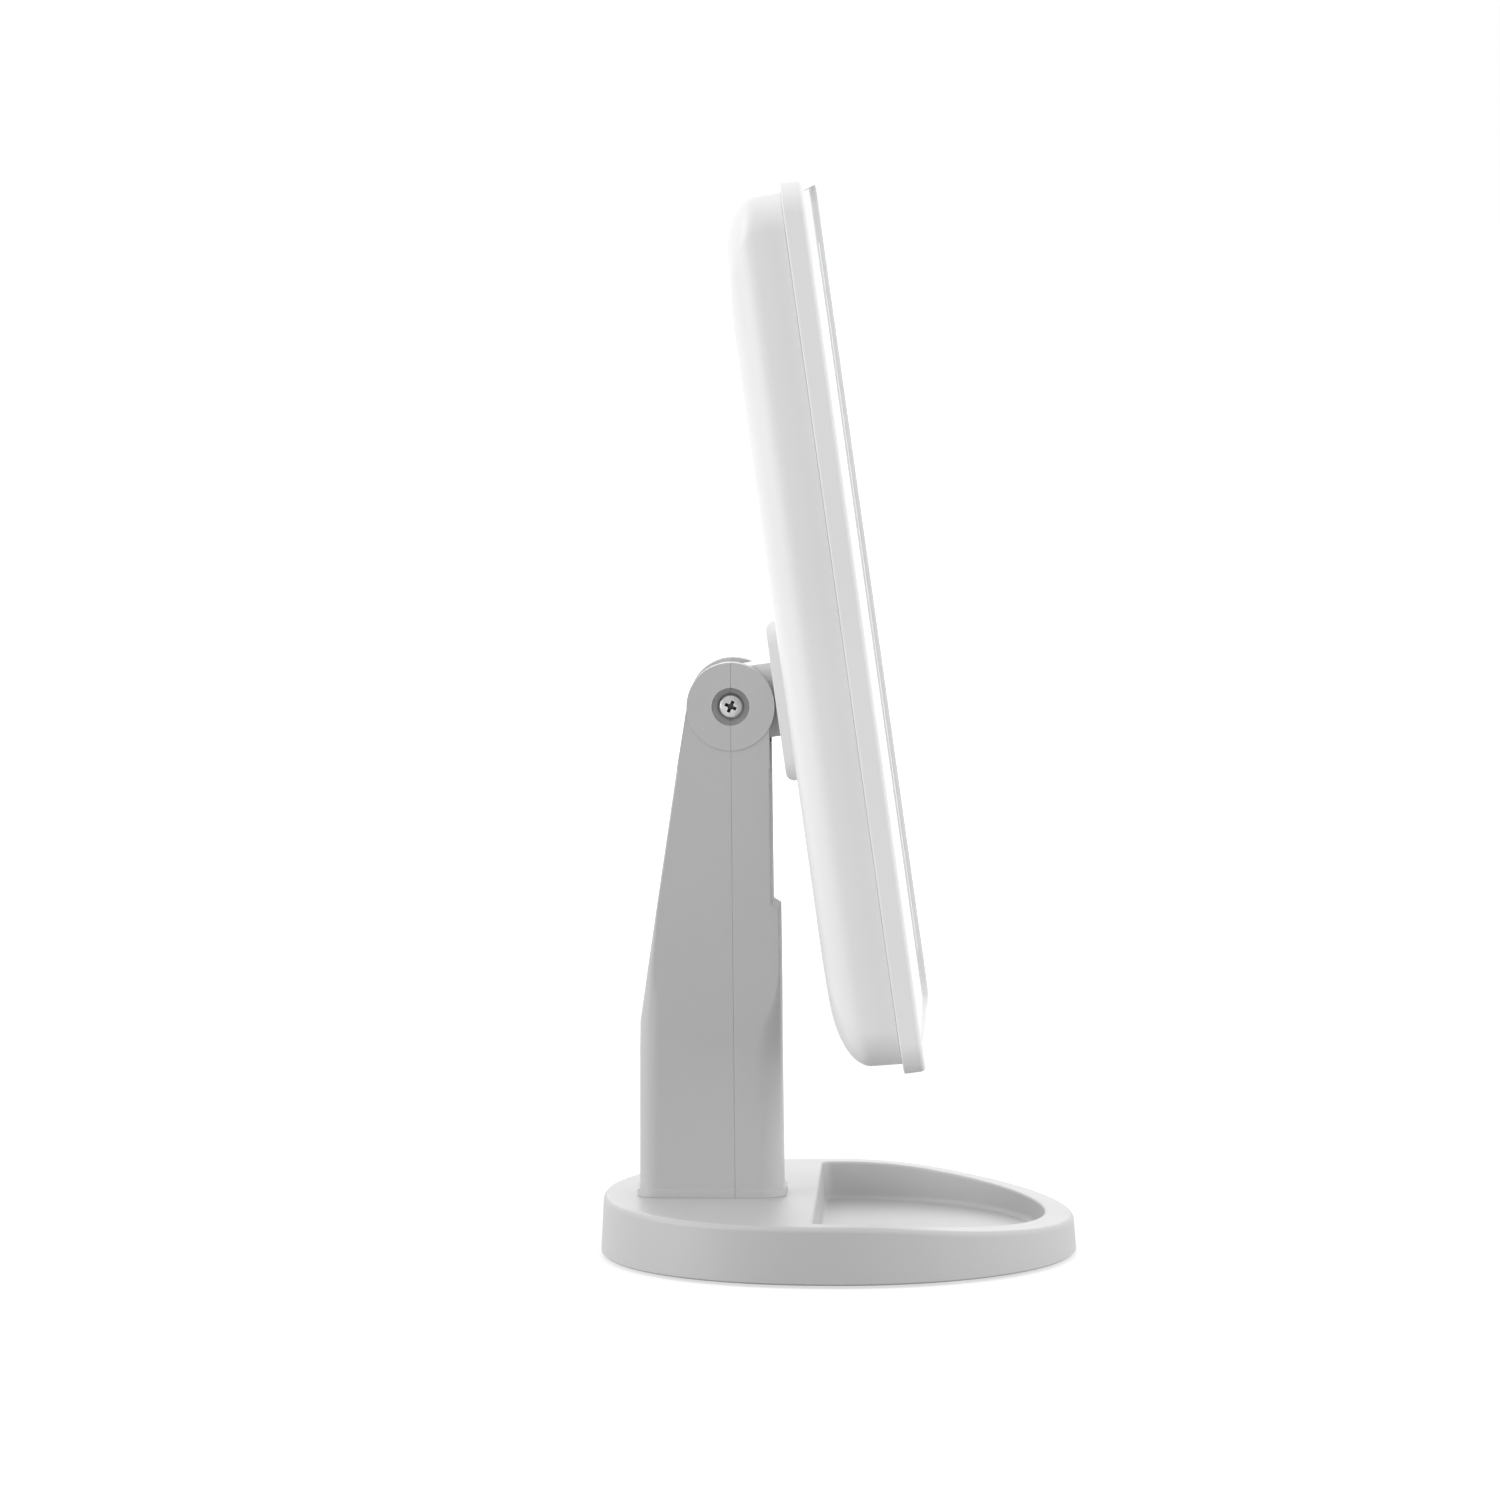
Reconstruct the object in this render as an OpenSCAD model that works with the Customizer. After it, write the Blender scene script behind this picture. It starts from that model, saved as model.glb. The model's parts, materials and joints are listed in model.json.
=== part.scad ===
// Free-standing vanity mirror: a lit mirror head on a friction hinge, carried by a
// two-part column on an oval base with a shallow tray.
// Front of the object is +X, its height is +Z, and its width runs along Y.

/* [Base] */
// Length of the base, front to back, at the desk
base_len = 123.4; // [112:0.2:140]
// Width of the base, side to side, at the desk
base_wid = 150.8; // [136:0.2:170]
// Height of the deck that the column stands on
deck_h = 15.5; // [14:0.1:20]
// Height of the rim at the very front
rim_front_h = 10; // [9:0.1:13]
// Distance ahead of the middle of the base at which the rim starts to fall
rim_fall_x = 12; // [4:0.5:24]
// Squareness of the base's rear half, where 2 is an ellipse
rear_square = 2.2; // [2:0.05:3]
// Width of the rim round the tray
rim_w = 8.3; // [7:0.1:12]
// Height of the tray's floor above the desk
tray_h = 5.4; // [5:0.1:7]
// Distance of the tray's straight step behind the middle of the base
tray_step = 5.5; // [0:0.5:8]
// Thickness of the base's deck and walls
base_wall = 2.4; // [2:0.1:3]
// How much narrower the base is at its top, on each side
base_draft = 0.6; // [0.2:0.1:1.5]
// Radius of the base's soft top edge
base_edge_r = 1.5; // [0.8:0.1:2]
// Gap between the base's lower edge and the desk
base_gap = 0.8; // [0.5:0.1:1.2]
// Thickness of the bottom cover
cover_t = 1.8; // [1.5:0.1:2]
// Diameter of a rubber foot
foot_d = 12; // [8:0.5:14]
// Thickness of the steel ballast plate under the deck
ballast_t = 7.5; // [3:0.5:8]
// Length of the ballast plate, front to back
ballast_len = 38; // [20:1:38]
// Width of the ballast plate
ballast_wid = 76; // [40:1:76]

/* [Column] */
// Height of the hinge axis above the desk
pivot_h = 142.8; // [130:0.2:160]
// Distance from the base's rear end to the hinge axis
pivot_inset = 33.9; // [31.5:0.1:38]
// Width of the column, side to side
column_w = 27; // [25:0.2:32]
// Radius of the round ears
ear_r = 11.4; // [10.9:0.1:13]
// Thickness of each ear
ear_t = 5; // [4.6:0.1:6]
// How far the ear's disc stands proud of the column's side
ear_proud = 0.3; // [0.2:0.05:0.6]
// Distance of the column's upright back behind the hinge axis
column_rear = 23.6; // [20:0.2:26]
// Drop from the hinge axis to the knee where the back turns upright
knee_drop = 82.4; // [70:0.2:95]
// Distance of the column's front ahead of the hinge axis, just below the ears
column_front = 9.9; // [8:0.1:11]
// Drop from the hinge axis to the step in the column's front
step_drop = 51.5; // [45:0.5:60]
// How far the lower front stands out past the step
step_out = 1.9; // [1:0.1:3]
// How much the column's front leans forward over its height
front_lean = 1.8; // [0:0.1:3]
// Thickness of the column's walls
column_wall = 2.2; // [1.8:0.1:2.6]
// Radius of the rear corners at the foot
rear_corner_r = 5; // [3:0.1:7]
// Radius of the front corners at the foot
front_corner_r = 6.5; // [3:0.1:8]
// Height of the flange round the column's foot
flange_h = 2; // [1.5:0.1:3]
// How far the foot's flange stands proud
flange_out = 0.7; // [0.4:0.1:1.2]
// How far the parting line drifts forward between hinge and foot
seam_drift = 1.2; // [0:0.1:2]

/* [Hinge] */
// Diameter of the hinge screw
screw_d = 4; // [3.5:0.1:4.4]
// Diameter of the hinge screw's head
screw_head_d = 6.9; // [6.5:0.1:7.4]
// Height of the hinge screw's head
screw_head_h = 2.2; // [1.8:0.1:2.4]
// Diameter of the round recess in the near ear
recess_d = 9.7; // [9.2:0.1:10.4]
// Depth of the recesses in the ears
recess_depth = 3; // [2.8:0.1:3.3]
// Radius of the hinge knuckle
knuckle_r = 9.6; // [8.8:0.1:9.9]
// Thickness of a friction washer
washer_t = 0.8; // [0.6:0.1:1]
// Thickness of the spring washer under the nut
spring_washer_t = 0.7; // [0.5:0.1:0.9]
// Thickness of the hinge nut
nut_t = 2.2; // [1.8:0.1:2.2]
// Width of the hinge nut across its flats
nut_af = 7; // [6.5:0.1:7.4]
// Wall of the bush in the knuckle
bush_wall = 2; // [1:0.1:2.5]
// Radial running clearance between hinge screw and bush
running_fit = 0.05; // [0.02:0.01:0.08]
// Gap between the ears and the bracket's pad
pad_gap = 0.6; // [0.5:0.1:1]
// Thickness of the bracket's pad
pad_t = 4; // [3.4:0.1:5]
// Length of the pad along the head
pad_len = 41.8; // [38:0.2:46]
// Width of the pad
pad_wid = 46; // [38:0.5:50]
// Largest lean of the head that the hinge allows
lean_max = 130; // [110:1:131]

/* [Head] */
// Lean of the head from upright, as it is drawn here
head_lean = 8; // [4:0.5:15]
// Length of the head along its face
head_len = 225.8; // [215:0.2:235]
// Width of the head
head_wid = 170; // [164:0.5:184]
// Distance from the hinge axis up the face to the head's top end
head_up = 132.3; // [128:0.1:136]
// Thickness of the front bezel
bezel_t = 5.6; // [5.2:0.1:7]
// Depth of the rear shell
shell_depth = 16.8; // [16.6:0.1:19]
// Radius of the bezel's corners, seen from the front
bezel_corner_r = 8; // [5:0.5:14]
// Width of the rim round the mirror at the sides and top
mirror_rim = 3; // [2.5:0.1:5]
// Width of the rim under the mirror
mirror_rim_low = 3.7; // [2.5:0.1:6]
// Depth of the mirror's face below the rim
mirror_recess = 1; // [0.5:0.1:1.4]
// Thickness of the mirror glass
glass_t = 3; // [2.5:0.1:3.2]
// How far the shell steps in behind the bezel
shell_step = 2.2; // [1.5:0.1:3]
// Thickness of the shell's wall
shell_wall = 2; // [1.6:0.1:2.2]
// Draft of the shell's upright wall
shell_draft = 0.4; // [0:0.1:0.8]
// Depth of the shell's curved part
curve_depth = 9.4; // [7:0.1:11]
// Reach of the curve at the top end
curve_top = 22; // [12:0.5:26]
// Reach of the curve at the bottom end
curve_low = 17; // [10:0.5:22]
// Reach of the curve at the long sides
curve_side = 17; // [10:0.5:17]

/* [Inside the head] */
// Diameter of a battery cell
cell_d = 14.2; // [13.8:0.1:14.4]
// Length of a battery cell
cell_len = 50.5; // [49:0.1:51]
// Distance from the hinge axis up to the battery bay
bay_up = 38.5; // [36:0.5:42]
// Thickness of the battery bay's walls
bay_wall = 1.5; // [1.2:0.1:2]
// Thickness of the battery door
door_t = 1.6; // [1.2:0.1:1.8]
// Gap round the battery door
door_gap = 0.3; // [0.2:0.05:0.5]
// Travel of the power switch
switch_travel = 2.5; // [2:0.1:3]
// Number of lights on each side
leds_per_side = 11; // [7:1:15]
// Width of the window in front of each row of lights
window_w = 8; // [6:0.5:9]
// Distance of each row of lights from the head's long side
light_inset = 17; // [16:0.5:19]

/* [Hidden] */

$fn = 64;
seat_gap = 0.15;        // room round a piece that is laid into its seat
cut = 1;                // how far a cutting tool reaches past the face it opens
white = [0.93, 0.93, 0.93];
steel = [0.62, 0.62, 0.62];
brass = [0.80, 0.68, 0.38];
green = [0.10, 0.35, 0.22];

// Small screws, all of one size
small_d = 3;
small_head_d = 5.6;
small_head_h = 2;
small_clear_r = 1.65;
small_pilot_r = 1.2;

// Base
half_len = base_len / 2;
half_wid = base_wid / 2;
pivot_back = half_len - pivot_inset;
oval_points = 96;
rim_blend = 12;                                   // half length of the soft bend in the rim
rim_slope = (deck_h - rim_front_h) / (half_len - rim_fall_x);
tray_edge_r = 0.8;
tray_floor_r = 1.5;
tray_draft = 0.5;
tray_corner_r = 3;
tray_corner_steps = 5;
tray_points = 48;
edge_bite = 0.03;                                 // lifts the tray's rounded edges so that they meet the deck cleanly
cover_top = base_gap + cover_t;
cover_room = 0.15;
foot_sink = 1;
foot_xy = [[0.68, 0.46], [-0.76, 0.44]];          // shares of the half length and half width
boss_r = 3.6;
cover_screw_front = [0.48, 0.77];
cover_screw_rear = [-0.48, 0.62];

// Column, measured from the hinge axis
foot_z = deck_h - pivot_h;
slope_dist = norm([column_rear, knee_drop]);
knee_angle = atan2(-knee_drop, -column_rear) + 360;
tangent_angle = knee_angle - acos(ear_r / slope_dist);
tangent_pt = ear_r * [cos(tangent_angle), sin(tangent_angle)];
loft_top = -16;                                   // height where the lofted post meets the ears
ear_bite = 0.98;                                  // lets the ear's flanks end just inside its disc
step_fall = 1.2;                                  // drop of the sloping ledge on the step
rear_round_span = 24;                             // height over which the rear corners grow
front_round_start = 17;                           // drop below the step before the front corners grow
front_round_span = 20;
sharp_r = 0.5;
slot_gap = 0.9;                                   // room between knuckle and column
slot_r = knuckle_r + slot_gap;
slot_side = 0.99 * slot_r;                        // the slot's flat sides start just inside its round part
ear_in = column_w / 2 - ear_t;
ear_out = column_w / 2 + ear_proud;
foot_boss_r = 3.5;
foot_boss_h = 16;
foot_screw_x = [-17, 8];
foot_screw_y = column_w / 2 - column_wall - foot_boss_r + 0.2;
foot_screw_len = 12;
joint_screw_z = [-38, foot_z + 24];
joint_boss_r = 4;
joint_head_x = -9;                                // where the joining screws' heads are seated
joint_screw_len = 16;

// Hinge, along Y from the hinge axis
side_play = 0.05;
knuckle_half = ear_in - washer_t - side_play;
washer_r = 8.2;
screw_r = screw_d / 2;
bush_r = screw_r + running_fit + bush_wall;
head_seat_y = -ear_out + recess_depth;
nut_seat_y = ear_out - recess_depth;
screw_tip_y = nut_seat_y + spring_washer_t + nut_t;

// Head, along the face's normal from the hinge axis
pad_n = ear_r + pad_gap;
shell_n = pad_n + pad_t;
seam_n = shell_n + shell_depth;
face_n = seam_n + bezel_t;
glass_front_n = face_n - mirror_recess;
glass_back_n = glass_front_n - glass_t;
head_low = head_up - head_len;
half_head = head_wid / 2;
pad_edge_r = 2.4;
pad_corner_r = 6;
bracket_screw_yz = [15, 14];
shell_corner_r = 9.5;
shell_corner_grow = 8;
pocket_r = 5;
shell_in_n = shell_n + shell_wall;

// Shell screws and their posts
shell_screw_y = half_head - 33;
shell_screw_u = [head_low + 27.5, 19, head_up - 28.3];
shell_boss_r = 4.6;
shell_boss_t = 2.6;
counterbore_r = small_head_d / 2 + 0.2;
counterbore_depth = 2.3;
post_r = 3.2;
post_low_n = shell_in_n + shell_boss_t + 0.1;

// Lights
light_y = half_head - light_inset;
window_u = [head_low + 17, head_up - 18];
box_wall = 1.2;
board_t = 1.2;
led_board_n = seam_n - 3.6 - board_t;
led_board_half = window_w / 2 + 3.5;
led_size = [0.8, 2.8, 3.5];

// Battery bay
cell_r = cell_d / 2;
cell_gap = 0.6;
cell_pitch = cell_d + cell_gap;
cell_count = 4;
cell_n = shell_n + door_t + 0.4 + cell_r;
bay_half = cell_pitch * cell_count / 2 + 0.4;
contact_low = 2.2;
contact_high = 1.8;
contact_wid = 10;
contact_deep = 9;
contact_t = 0.4;
contact_r = 2.4;
bay_len = cell_len + contact_low + contact_high;
bay_top = bay_up + bay_len;
ledge_n = shell_n + door_t;
door_low = bay_up - bay_wall + door_gap;
door_high = bay_top + bay_wall - door_gap;
door_half = bay_half + bay_wall - door_gap;
tab_y = cell_pitch;
tab_half = 3;
tab_t = 1.2;
tab_n = shell_in_n + 0.2;
tab_low = bay_up - bay_wall - 2.2;

// Control board
ctrl_n = 22;
ctrl_u = [head_low + 13.5, head_low + 47.5];
ctrl_half = shell_screw_y - 10;
ctrl_post_r = 2.6;
switch_y = ctrl_half - 12;
switch_u = head_low + 37.5;
knob_len = 4.4;
knob_wid = 2.6;
usb_y = 8 - ctrl_half;
touch_u = head_low + 19;

// ---------- helpers ----------

module at_pivot() { translate([-pivot_back, 0, pivot_h]) children(); }

// Head frame: x is the face's normal, z runs up the face, both from the hinge axis
module in_head() { at_pivot() rotate([0, -head_lean, 0]) children(); }

module y_cyl(r, y0, y1) { translate([0, y1, 0]) rotate([90, 0, 0]) cylinder(r = r, h = y1 - y0); }

module x_cyl(r, x0, x1, y, z) { translate([x0, y, z]) rotate([0, 90, 0]) cylinder(r = r, h = x1 - x0); }

// Rounded rectangle with true arcs
module rounded(x0, x1, y0, y1, r) {
    translate([x0 + r, y0]) square([x1 - x0 - 2 * r, y1 - y0]);
    translate([x0, y0 + r]) square([x1 - x0, y1 - y0 - 2 * r]);
    for (x = [x0 + r, x1 - r], y = [y0 + r, y1 - r]) translate([x, y]) circle(r = r);
}

// Plate in the head frame: y and z give its outline, x its thickness
module face_plate(n0, n1, y0, y1, u0, u1, r) {
    translate([n0, 0, 0]) rotate([90, 0, 90]) linear_extrude(n1 - n0) rounded(y0, y1, u0, u1, r);
}

module face_box(n0, n1, y0, y1, u0, u1) { translate([n0, y0, u0]) cube([n1 - n0, y1 - y0, u1 - u0]); }

// Closed skin through rings of equally many points, from the lowest ring up
module loft(rings) {
    n = len(rings[0]);
    last = len(rings) - 1;
    polyhedron(
        points = [for (ring = rings) each ring],
        faces = concat(
            [[for (i = [0 : n - 1]) i]],
            [for (k = [0 : last - 1], i = [0 : n - 1], half = [0, 1]) let (
                a = k * n + i, b = k * n + (i + 1) % n, c = a + n, d = b + n
            ) half == 0 ? [a, c, d] : [a, d, b]],
            [[for (i = [n - 1 : -1 : 0]) last * n + i]]
        ),
        convexity = 4
    );
}

// Rounded rectangle as points; r_low serves the corners at x0, r_high those at x1
function rounded_points(x0, x1, y0, y1, r_low, r_high, steps = 6) = [
    for (c = [
        [x1 - r_high, y0 + r_high, r_high, -90], [x1 - r_high, y1 - r_high, r_high, 0],
        [x0 + r_low, y1 - r_low, r_low, 90], [x0 + r_low, y0 + r_low, r_low, 180]
    ]) for (i = [0 : steps]) let (a = c[3] + 90 * i / steps) [c[0] + c[2] * cos(a), c[1] + c[2] * sin(a)]
];

function ramp(t) = let (u = min(1, max(0, t))) u * u * (3 - 2 * u);
function signed_pow(v, p) = sign(v) * pow(abs(v), p);

// A small pan head screw along +Z: its head hangs below z = 0 and its shank stands above
module small_screw(length) {
    difference() {
        union() {
            cylinder(d = small_d - 0.6, h = length);
            intersection() {
                translate([0, 0, -small_head_h]) cylinder(d = small_head_d, h = small_head_h);
                translate([0, 0, 2]) sphere(r = small_head_h + 2.3);
            }
        }
        for (a = [0, 90]) rotate(a) translate([-1.5, -0.35, -small_head_h - cut]) cube([3, 0.7, cut + 1.2]);
    }
}

// ---------- base ----------

// Height of the rim's top at a given x: level, then a soft bend, then a straight fall
function rim_z(x) = let (d = x - rim_fall_x)
    d < -rim_blend ? deck_h
    : d < rim_blend ? deck_h - rim_slope * pow(d + rim_blend, 2) / (4 * rim_blend)
    : deck_h - rim_slope * d;

function oval(inset) = [for (i = [0 : oval_points - 1]) let (
    a = 360 * i / oval_points, p = cos(a) < 0 ? 2 / rear_square : 1
) [(half_len - inset) * signed_pow(cos(a), p), (half_wid - inset) * signed_pow(sin(a), p)]];

function oval_at(inset, z) = [for (p = oval(inset)) [p[0], p[1], z]];
function oval_below_rim(inset, drop) = [for (p = oval(inset)) [p[0], p[1], rim_z(p[0]) - drop]];

module base_body() {
    top = base_draft;
    loft(concat(
        [oval_at(0, base_gap)],
        [for (a = [0 : 22.5 : 90])
            oval_below_rim(top + base_edge_r * (1 - cos(a)), base_edge_r * (1 - sin(a)))],
        [oval_below_rim(rim_w + 1.5, 0), oval_at(rim_w + 2, deck_h)]
    ));
}

// The tray's outline for an inset from the base's own: an oval front, two round corners and the straight step
function tray_outline(inset) = let (
    sunk = inset - rim_w,
    r = tray_corner_r - sunk,
    a = half_len - inset,
    b = half_wid - inset,
    cx = sunk + r - tray_step,
    cy = (b - r) * sqrt(1 - pow(cx / (a - r), 2)),
    meet = atan2(cy / pow(b - r, 2), cx / pow(a - r, 2)),
    sweep = acos((cx + r * cos(meet)) / a),
    corner = [for (i = [1 : tray_corner_steps]) let (t = meet + (180 - meet) * i / tray_corner_steps)
        [cx + r * cos(t), cy + r * sin(t)]]
) concat(
    [for (i = [0 : tray_points]) let (t = sweep * (2 * i / tray_points - 1)) [a * cos(t), b * sin(t)]],
    corner,
    [for (i = [tray_corner_steps - 1 : -1 : 0]) [corner[i][0], -corner[i][1]]]
);

function tray_at(inset, z) = [for (p = tray_outline(inset)) [p[0], p[1], z]];
function tray_below_rim(inset, drop) = [for (p = tray_outline(inset)) [p[0], p[1], rim_z(p[0]) - drop]];

module tray_cut() {
    wall_in = rim_w + tray_draft;
    loft(concat(
        [for (a = [0 : 30 : 90]) tray_at(wall_in + tray_floor_r * (1 - sin(a)), tray_h + tray_floor_r * (1 - cos(a)))],
        [for (a = [0 : 30 : 90])
            tray_below_rim(rim_w - tray_edge_r * (1 - cos(a)), tray_edge_r * (1 - sin(a)) - edge_bite)],
        [tray_at(rim_w - tray_edge_r, deck_h + cut)]
    ));
}

module cover_screw_places(front, rear) {
    for (s = [-1, 1]) {
        if (front) translate([half_len * cover_screw_front[0], s * half_wid * cover_screw_front[1]]) children();
        if (rear) translate([half_len * cover_screw_rear[0], s * half_wid * cover_screw_rear[1]]) children();
    }
}

module foot_places() {
    for (p = foot_xy, s = [-1, 1]) translate([half_len * p[0], s * half_wid * p[1]]) children();
}

module foot_screw_places() {
    for (x = foot_screw_x, s = [-1, 1]) translate([x - pivot_back, s * foot_screw_y]) children();
}

module base_shell() {
    boss_top = deck_h - base_wall;
    color(white) difference() {
        union() {
            difference() {
                base_body();
                tray_cut();
                // Room for the cover, and the hollow under the deck
                translate([0, 0, -cut]) linear_extrude(cover_top + 0.1 + cut) polygon(oval(base_wall));
                intersection() {
                    translate([0, 0, -cut]) linear_extrude(boss_top + cut) polygon(oval(base_wall + 0.4));
                    translate([-base_len, -base_wid / 2, -cut])
                        cube([base_len - tray_step - base_wall, base_wid, base_len]);
                }
            }
            // Bosses for the cover screws under the deck
            cover_screw_places(false, true) translate([0, 0, cover_top + 0.1])
                cylinder(r = boss_r, h = boss_top - cover_top);
        }
        cover_screw_places(true, true) translate([0, 0, cover_top - cut])
            cylinder(r = small_pilot_r, h = cut + rim_front_h - cover_top - base_wall);
        foot_screw_places() translate([0, 0, boss_top - cut]) cylinder(r = small_clear_r, h = base_wall + 2 * cut);
    }
}

module base_cover() {
    color(white) difference() {
        translate([0, 0, base_gap]) linear_extrude(cover_t) polygon(oval(base_wall + cover_room));
        foot_places() translate([0, 0, base_gap - cut]) cylinder(d = foot_d + 2 * seat_gap, h = foot_sink + cut);
        cover_screw_places(true, true) translate([0, 0, -cut]) {
            cylinder(r = small_clear_r, h = cover_top + 2 * cut);
            cylinder(r = counterbore_r, h = cut + base_gap + cover_t - 0.7);
        }
    }
}

// Steel plate bonded to the cover; it keeps the stand steady when the head lies back
module ballast_plate() {
    front = -tray_step - base_wall - 4;
    color(steel) translate([0, 0, cover_top]) linear_extrude(ballast_t)
        rounded(front - ballast_len, front, -ballast_wid / 2, ballast_wid / 2, 3);
}

module rubber_feet() {
    color([0.20, 0.20, 0.21]) foot_places() rotate_extrude() polygon([
        [0, 0], [foot_d / 2 - 0.4, 0], [foot_d / 2, 0.4], [foot_d / 2, base_gap + foot_sink], [0, base_gap + foot_sink]
    ]);
}

module base_cover_screws() {
    flat_head_h = cover_t - 0.9;
    color(steel) cover_screw_places(true, true) translate([0, 0, cover_top - 0.7]) difference() {
        union() {
            translate([0, 0, -flat_head_h]) cylinder(d = small_head_d, h = flat_head_h);
            cylinder(d = small_d - 0.6, h = 5);
        }
        for (a = [0, 90]) rotate(a) translate([-1.5, -0.35, -flat_head_h - cut]) cube([3, 0.7, cut + 0.5]);
    }
}

// ---------- column ----------

// The column's back and front edges at a height z below the hinge axis
function back_x(z) = z < -knee_drop ? -column_rear
    : -column_rear + (tangent_pt[0] + column_rear) * (z + knee_drop) / (tangent_pt[1] + knee_drop);
function front_x(z) = column_front + front_lean * z / foot_z + step_out * (z < -step_drop ? 1 : 0);

function column_ring(z, off) = let (
    r_rear = max(sharp_r, rear_corner_r * ramp((-z - knee_drop + rear_round_span) / rear_round_span) - off),
    r_front = max(sharp_r,
        front_corner_r * ramp((-z - step_drop - front_round_start) / front_round_span) - off)
) [for (p = rounded_points(back_x(z) + off, front_x(z) - off, off - column_w / 2, column_w / 2 - off,
    r_rear, r_front)) [p[0], p[1], z]];

function column_heights(top, bottom) = concat(
    [bottom, foot_z + 24],
    [for (k = [3 : -1 : 0]) -step_drop - front_round_start - front_round_span * k / 3 ],
    [-step_drop - step_fall, -step_drop, top]
);

module post_body(off, top, bottom) {
    loft([for (z = column_heights(top, bottom)) column_ring(z, off)]);
}

// Ears: round tops that run down into the post, with a disc standing proud
module ears() {
    rotate([90, 0, 0]) linear_extrude(column_w, center = true) polygon([
        [0, 0], tangent_pt * ear_bite, [back_x(loft_top), loft_top], [front_x(loft_top), loft_top], [column_front, 0]
    ]);
    y_cyl(ear_r, -ear_out, ear_out);
}

// The gap between the ears, with a saddle that clears the knuckle at every lean
module knuckle_slot() {
    reach = 3 * ear_r;
    rotate([90, 0, 0]) linear_extrude(2 * ear_in, center = true) {
        circle(r = slot_r);
        translate([0, -slot_side]) square([reach, slot_side + reach]);
        rotate(lean_max) translate([0, -reach]) square([reach, reach + slot_side]);
    }
}

module joint_screw_places() {
    for (z = joint_screw_z) translate([joint_head_x, 0, z]) rotate([0, 90, 0]) children();
}

// Everything that both halves share; each half keeps its own side of the parting line
module column_solid() {
    flange_ring = [for (p = column_ring(foot_z, -flange_out)) [p[0], p[1]]];
    difference() {
        union() {
            post_body(0, loft_top, foot_z);
            ears();
            translate([0, 0, foot_z]) linear_extrude(flange_h) polygon(flange_ring);
        }
        difference() {
            post_body(column_wall, loft_top - 2, foot_z - cut);
            for (x = foot_screw_x, s = [-1, 1]) translate([x, s * foot_screw_y, foot_z - 2 * cut])
                cylinder(r = foot_boss_r, h = foot_boss_h + cut);
            for (z = joint_screw_z) x_cyl(joint_boss_r, -2 * column_rear, 2 * column_rear, 0, z);
        }
        knuckle_slot();
        y_cyl(screw_r + 0.1, -2 * ear_out, 2 * ear_out);
        y_cyl(recess_d / 2, -2 * ear_out, head_seat_y);
        y_cyl(recess_d / 2, nut_seat_y, 2 * ear_out);
        for (x = foot_screw_x, s = [-1, 1]) translate([x, s * foot_screw_y, foot_z - cut])
            cylinder(r = small_pilot_r, h = foot_screw_len + 2 * cut);
        joint_screw_places() translate([0, 0, -column_rear]) cylinder(r = counterbore_r, h = column_rear);
        joint_screw_places() cylinder(r = small_pilot_r, h = joint_screw_len + cut);
    }
}

// The side of the parting line that a half keeps: forward or back
module seam_side(forward) {
    reach = 3 * column_rear;
    rotate([90, 0, 0]) linear_extrude(2 * column_w, center = true)
        polygon([[0, reach], [forward * reach, reach], [forward * reach, foot_z - cut], [seam_drift, foot_z - cut],
            [0, 0]]);
}

module column_front_shell() {
    color(white) at_pivot() intersection() {
        column_solid();
        seam_side(1);
    }
}

module column_rear_shell() {
    color(white) at_pivot() difference() {
        intersection() {
            column_solid();
            seam_side(-1);
        }
        joint_screw_places() cylinder(r = small_clear_r, h = column_rear);
    }
}

module column_screws() {
    color(steel) at_pivot() joint_screw_places() small_screw(joint_screw_len);
}

module foot_screws() {
    color(steel) foot_screw_places() translate([0, 0, deck_h - base_wall]) small_screw(foot_screw_len);
}

// ---------- hinge hardware on the stand ----------

module hinge_screw() {
    dome = 5;
    color(steel) at_pivot() difference() {
        union() {
            y_cyl(screw_r, head_seat_y - 0.1, screw_tip_y);
            intersection() {
                y_cyl(screw_head_d / 2, head_seat_y - screw_head_h, head_seat_y);
                translate([0, head_seat_y - screw_head_h + dome, 0]) sphere(r = dome);
            }
        }
        for (a = [0, 90]) rotate([0, a + 20, 0])
            translate([-2, head_seat_y - screw_head_h - cut, -0.45]) cube([4, cut + 1.3, 0.9]);
    }
}

module hinge_nut() {
    color(steel) at_pivot() difference() {
        translate([0, screw_tip_y, 0]) rotate([90, 0, 0]) cylinder(d = nut_af / cos(30), h = nut_t, $fn = 6);
        y_cyl(screw_r + 0.02, 0, 2 * ear_out);
    }
}

// A split ring, drawn pressed flat
module spring_washer() {
    split = 0.9;
    color(steel) at_pivot() difference() {
        y_cyl(screw_r + 1.8, nut_seat_y, nut_seat_y + spring_washer_t);
        y_cyl(screw_r + 0.1, 0, 2 * ear_out);
        rotate([0, 35, 0]) translate([-split / 2, 0, 0]) cube([split, 2 * ear_out, 3 * screw_r]);
    }
}

module friction_washers() {
    color([0.25, 0.25, 0.26]) at_pivot() for (s = [0, 1]) mirror([0, s, 0]) difference() {
        y_cyl(washer_r, ear_in - washer_t, ear_in);
        y_cyl(screw_r + 0.1, 0, 2 * ear_out);
    }
}

// ---------- head: hinge side ----------

module bracket_screw_places() {
    for (y = [-1, 1] * bracket_screw_yz[0], u = [-1, 1] * bracket_screw_yz[1]) translate([0, y, u]) children();
}

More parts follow.
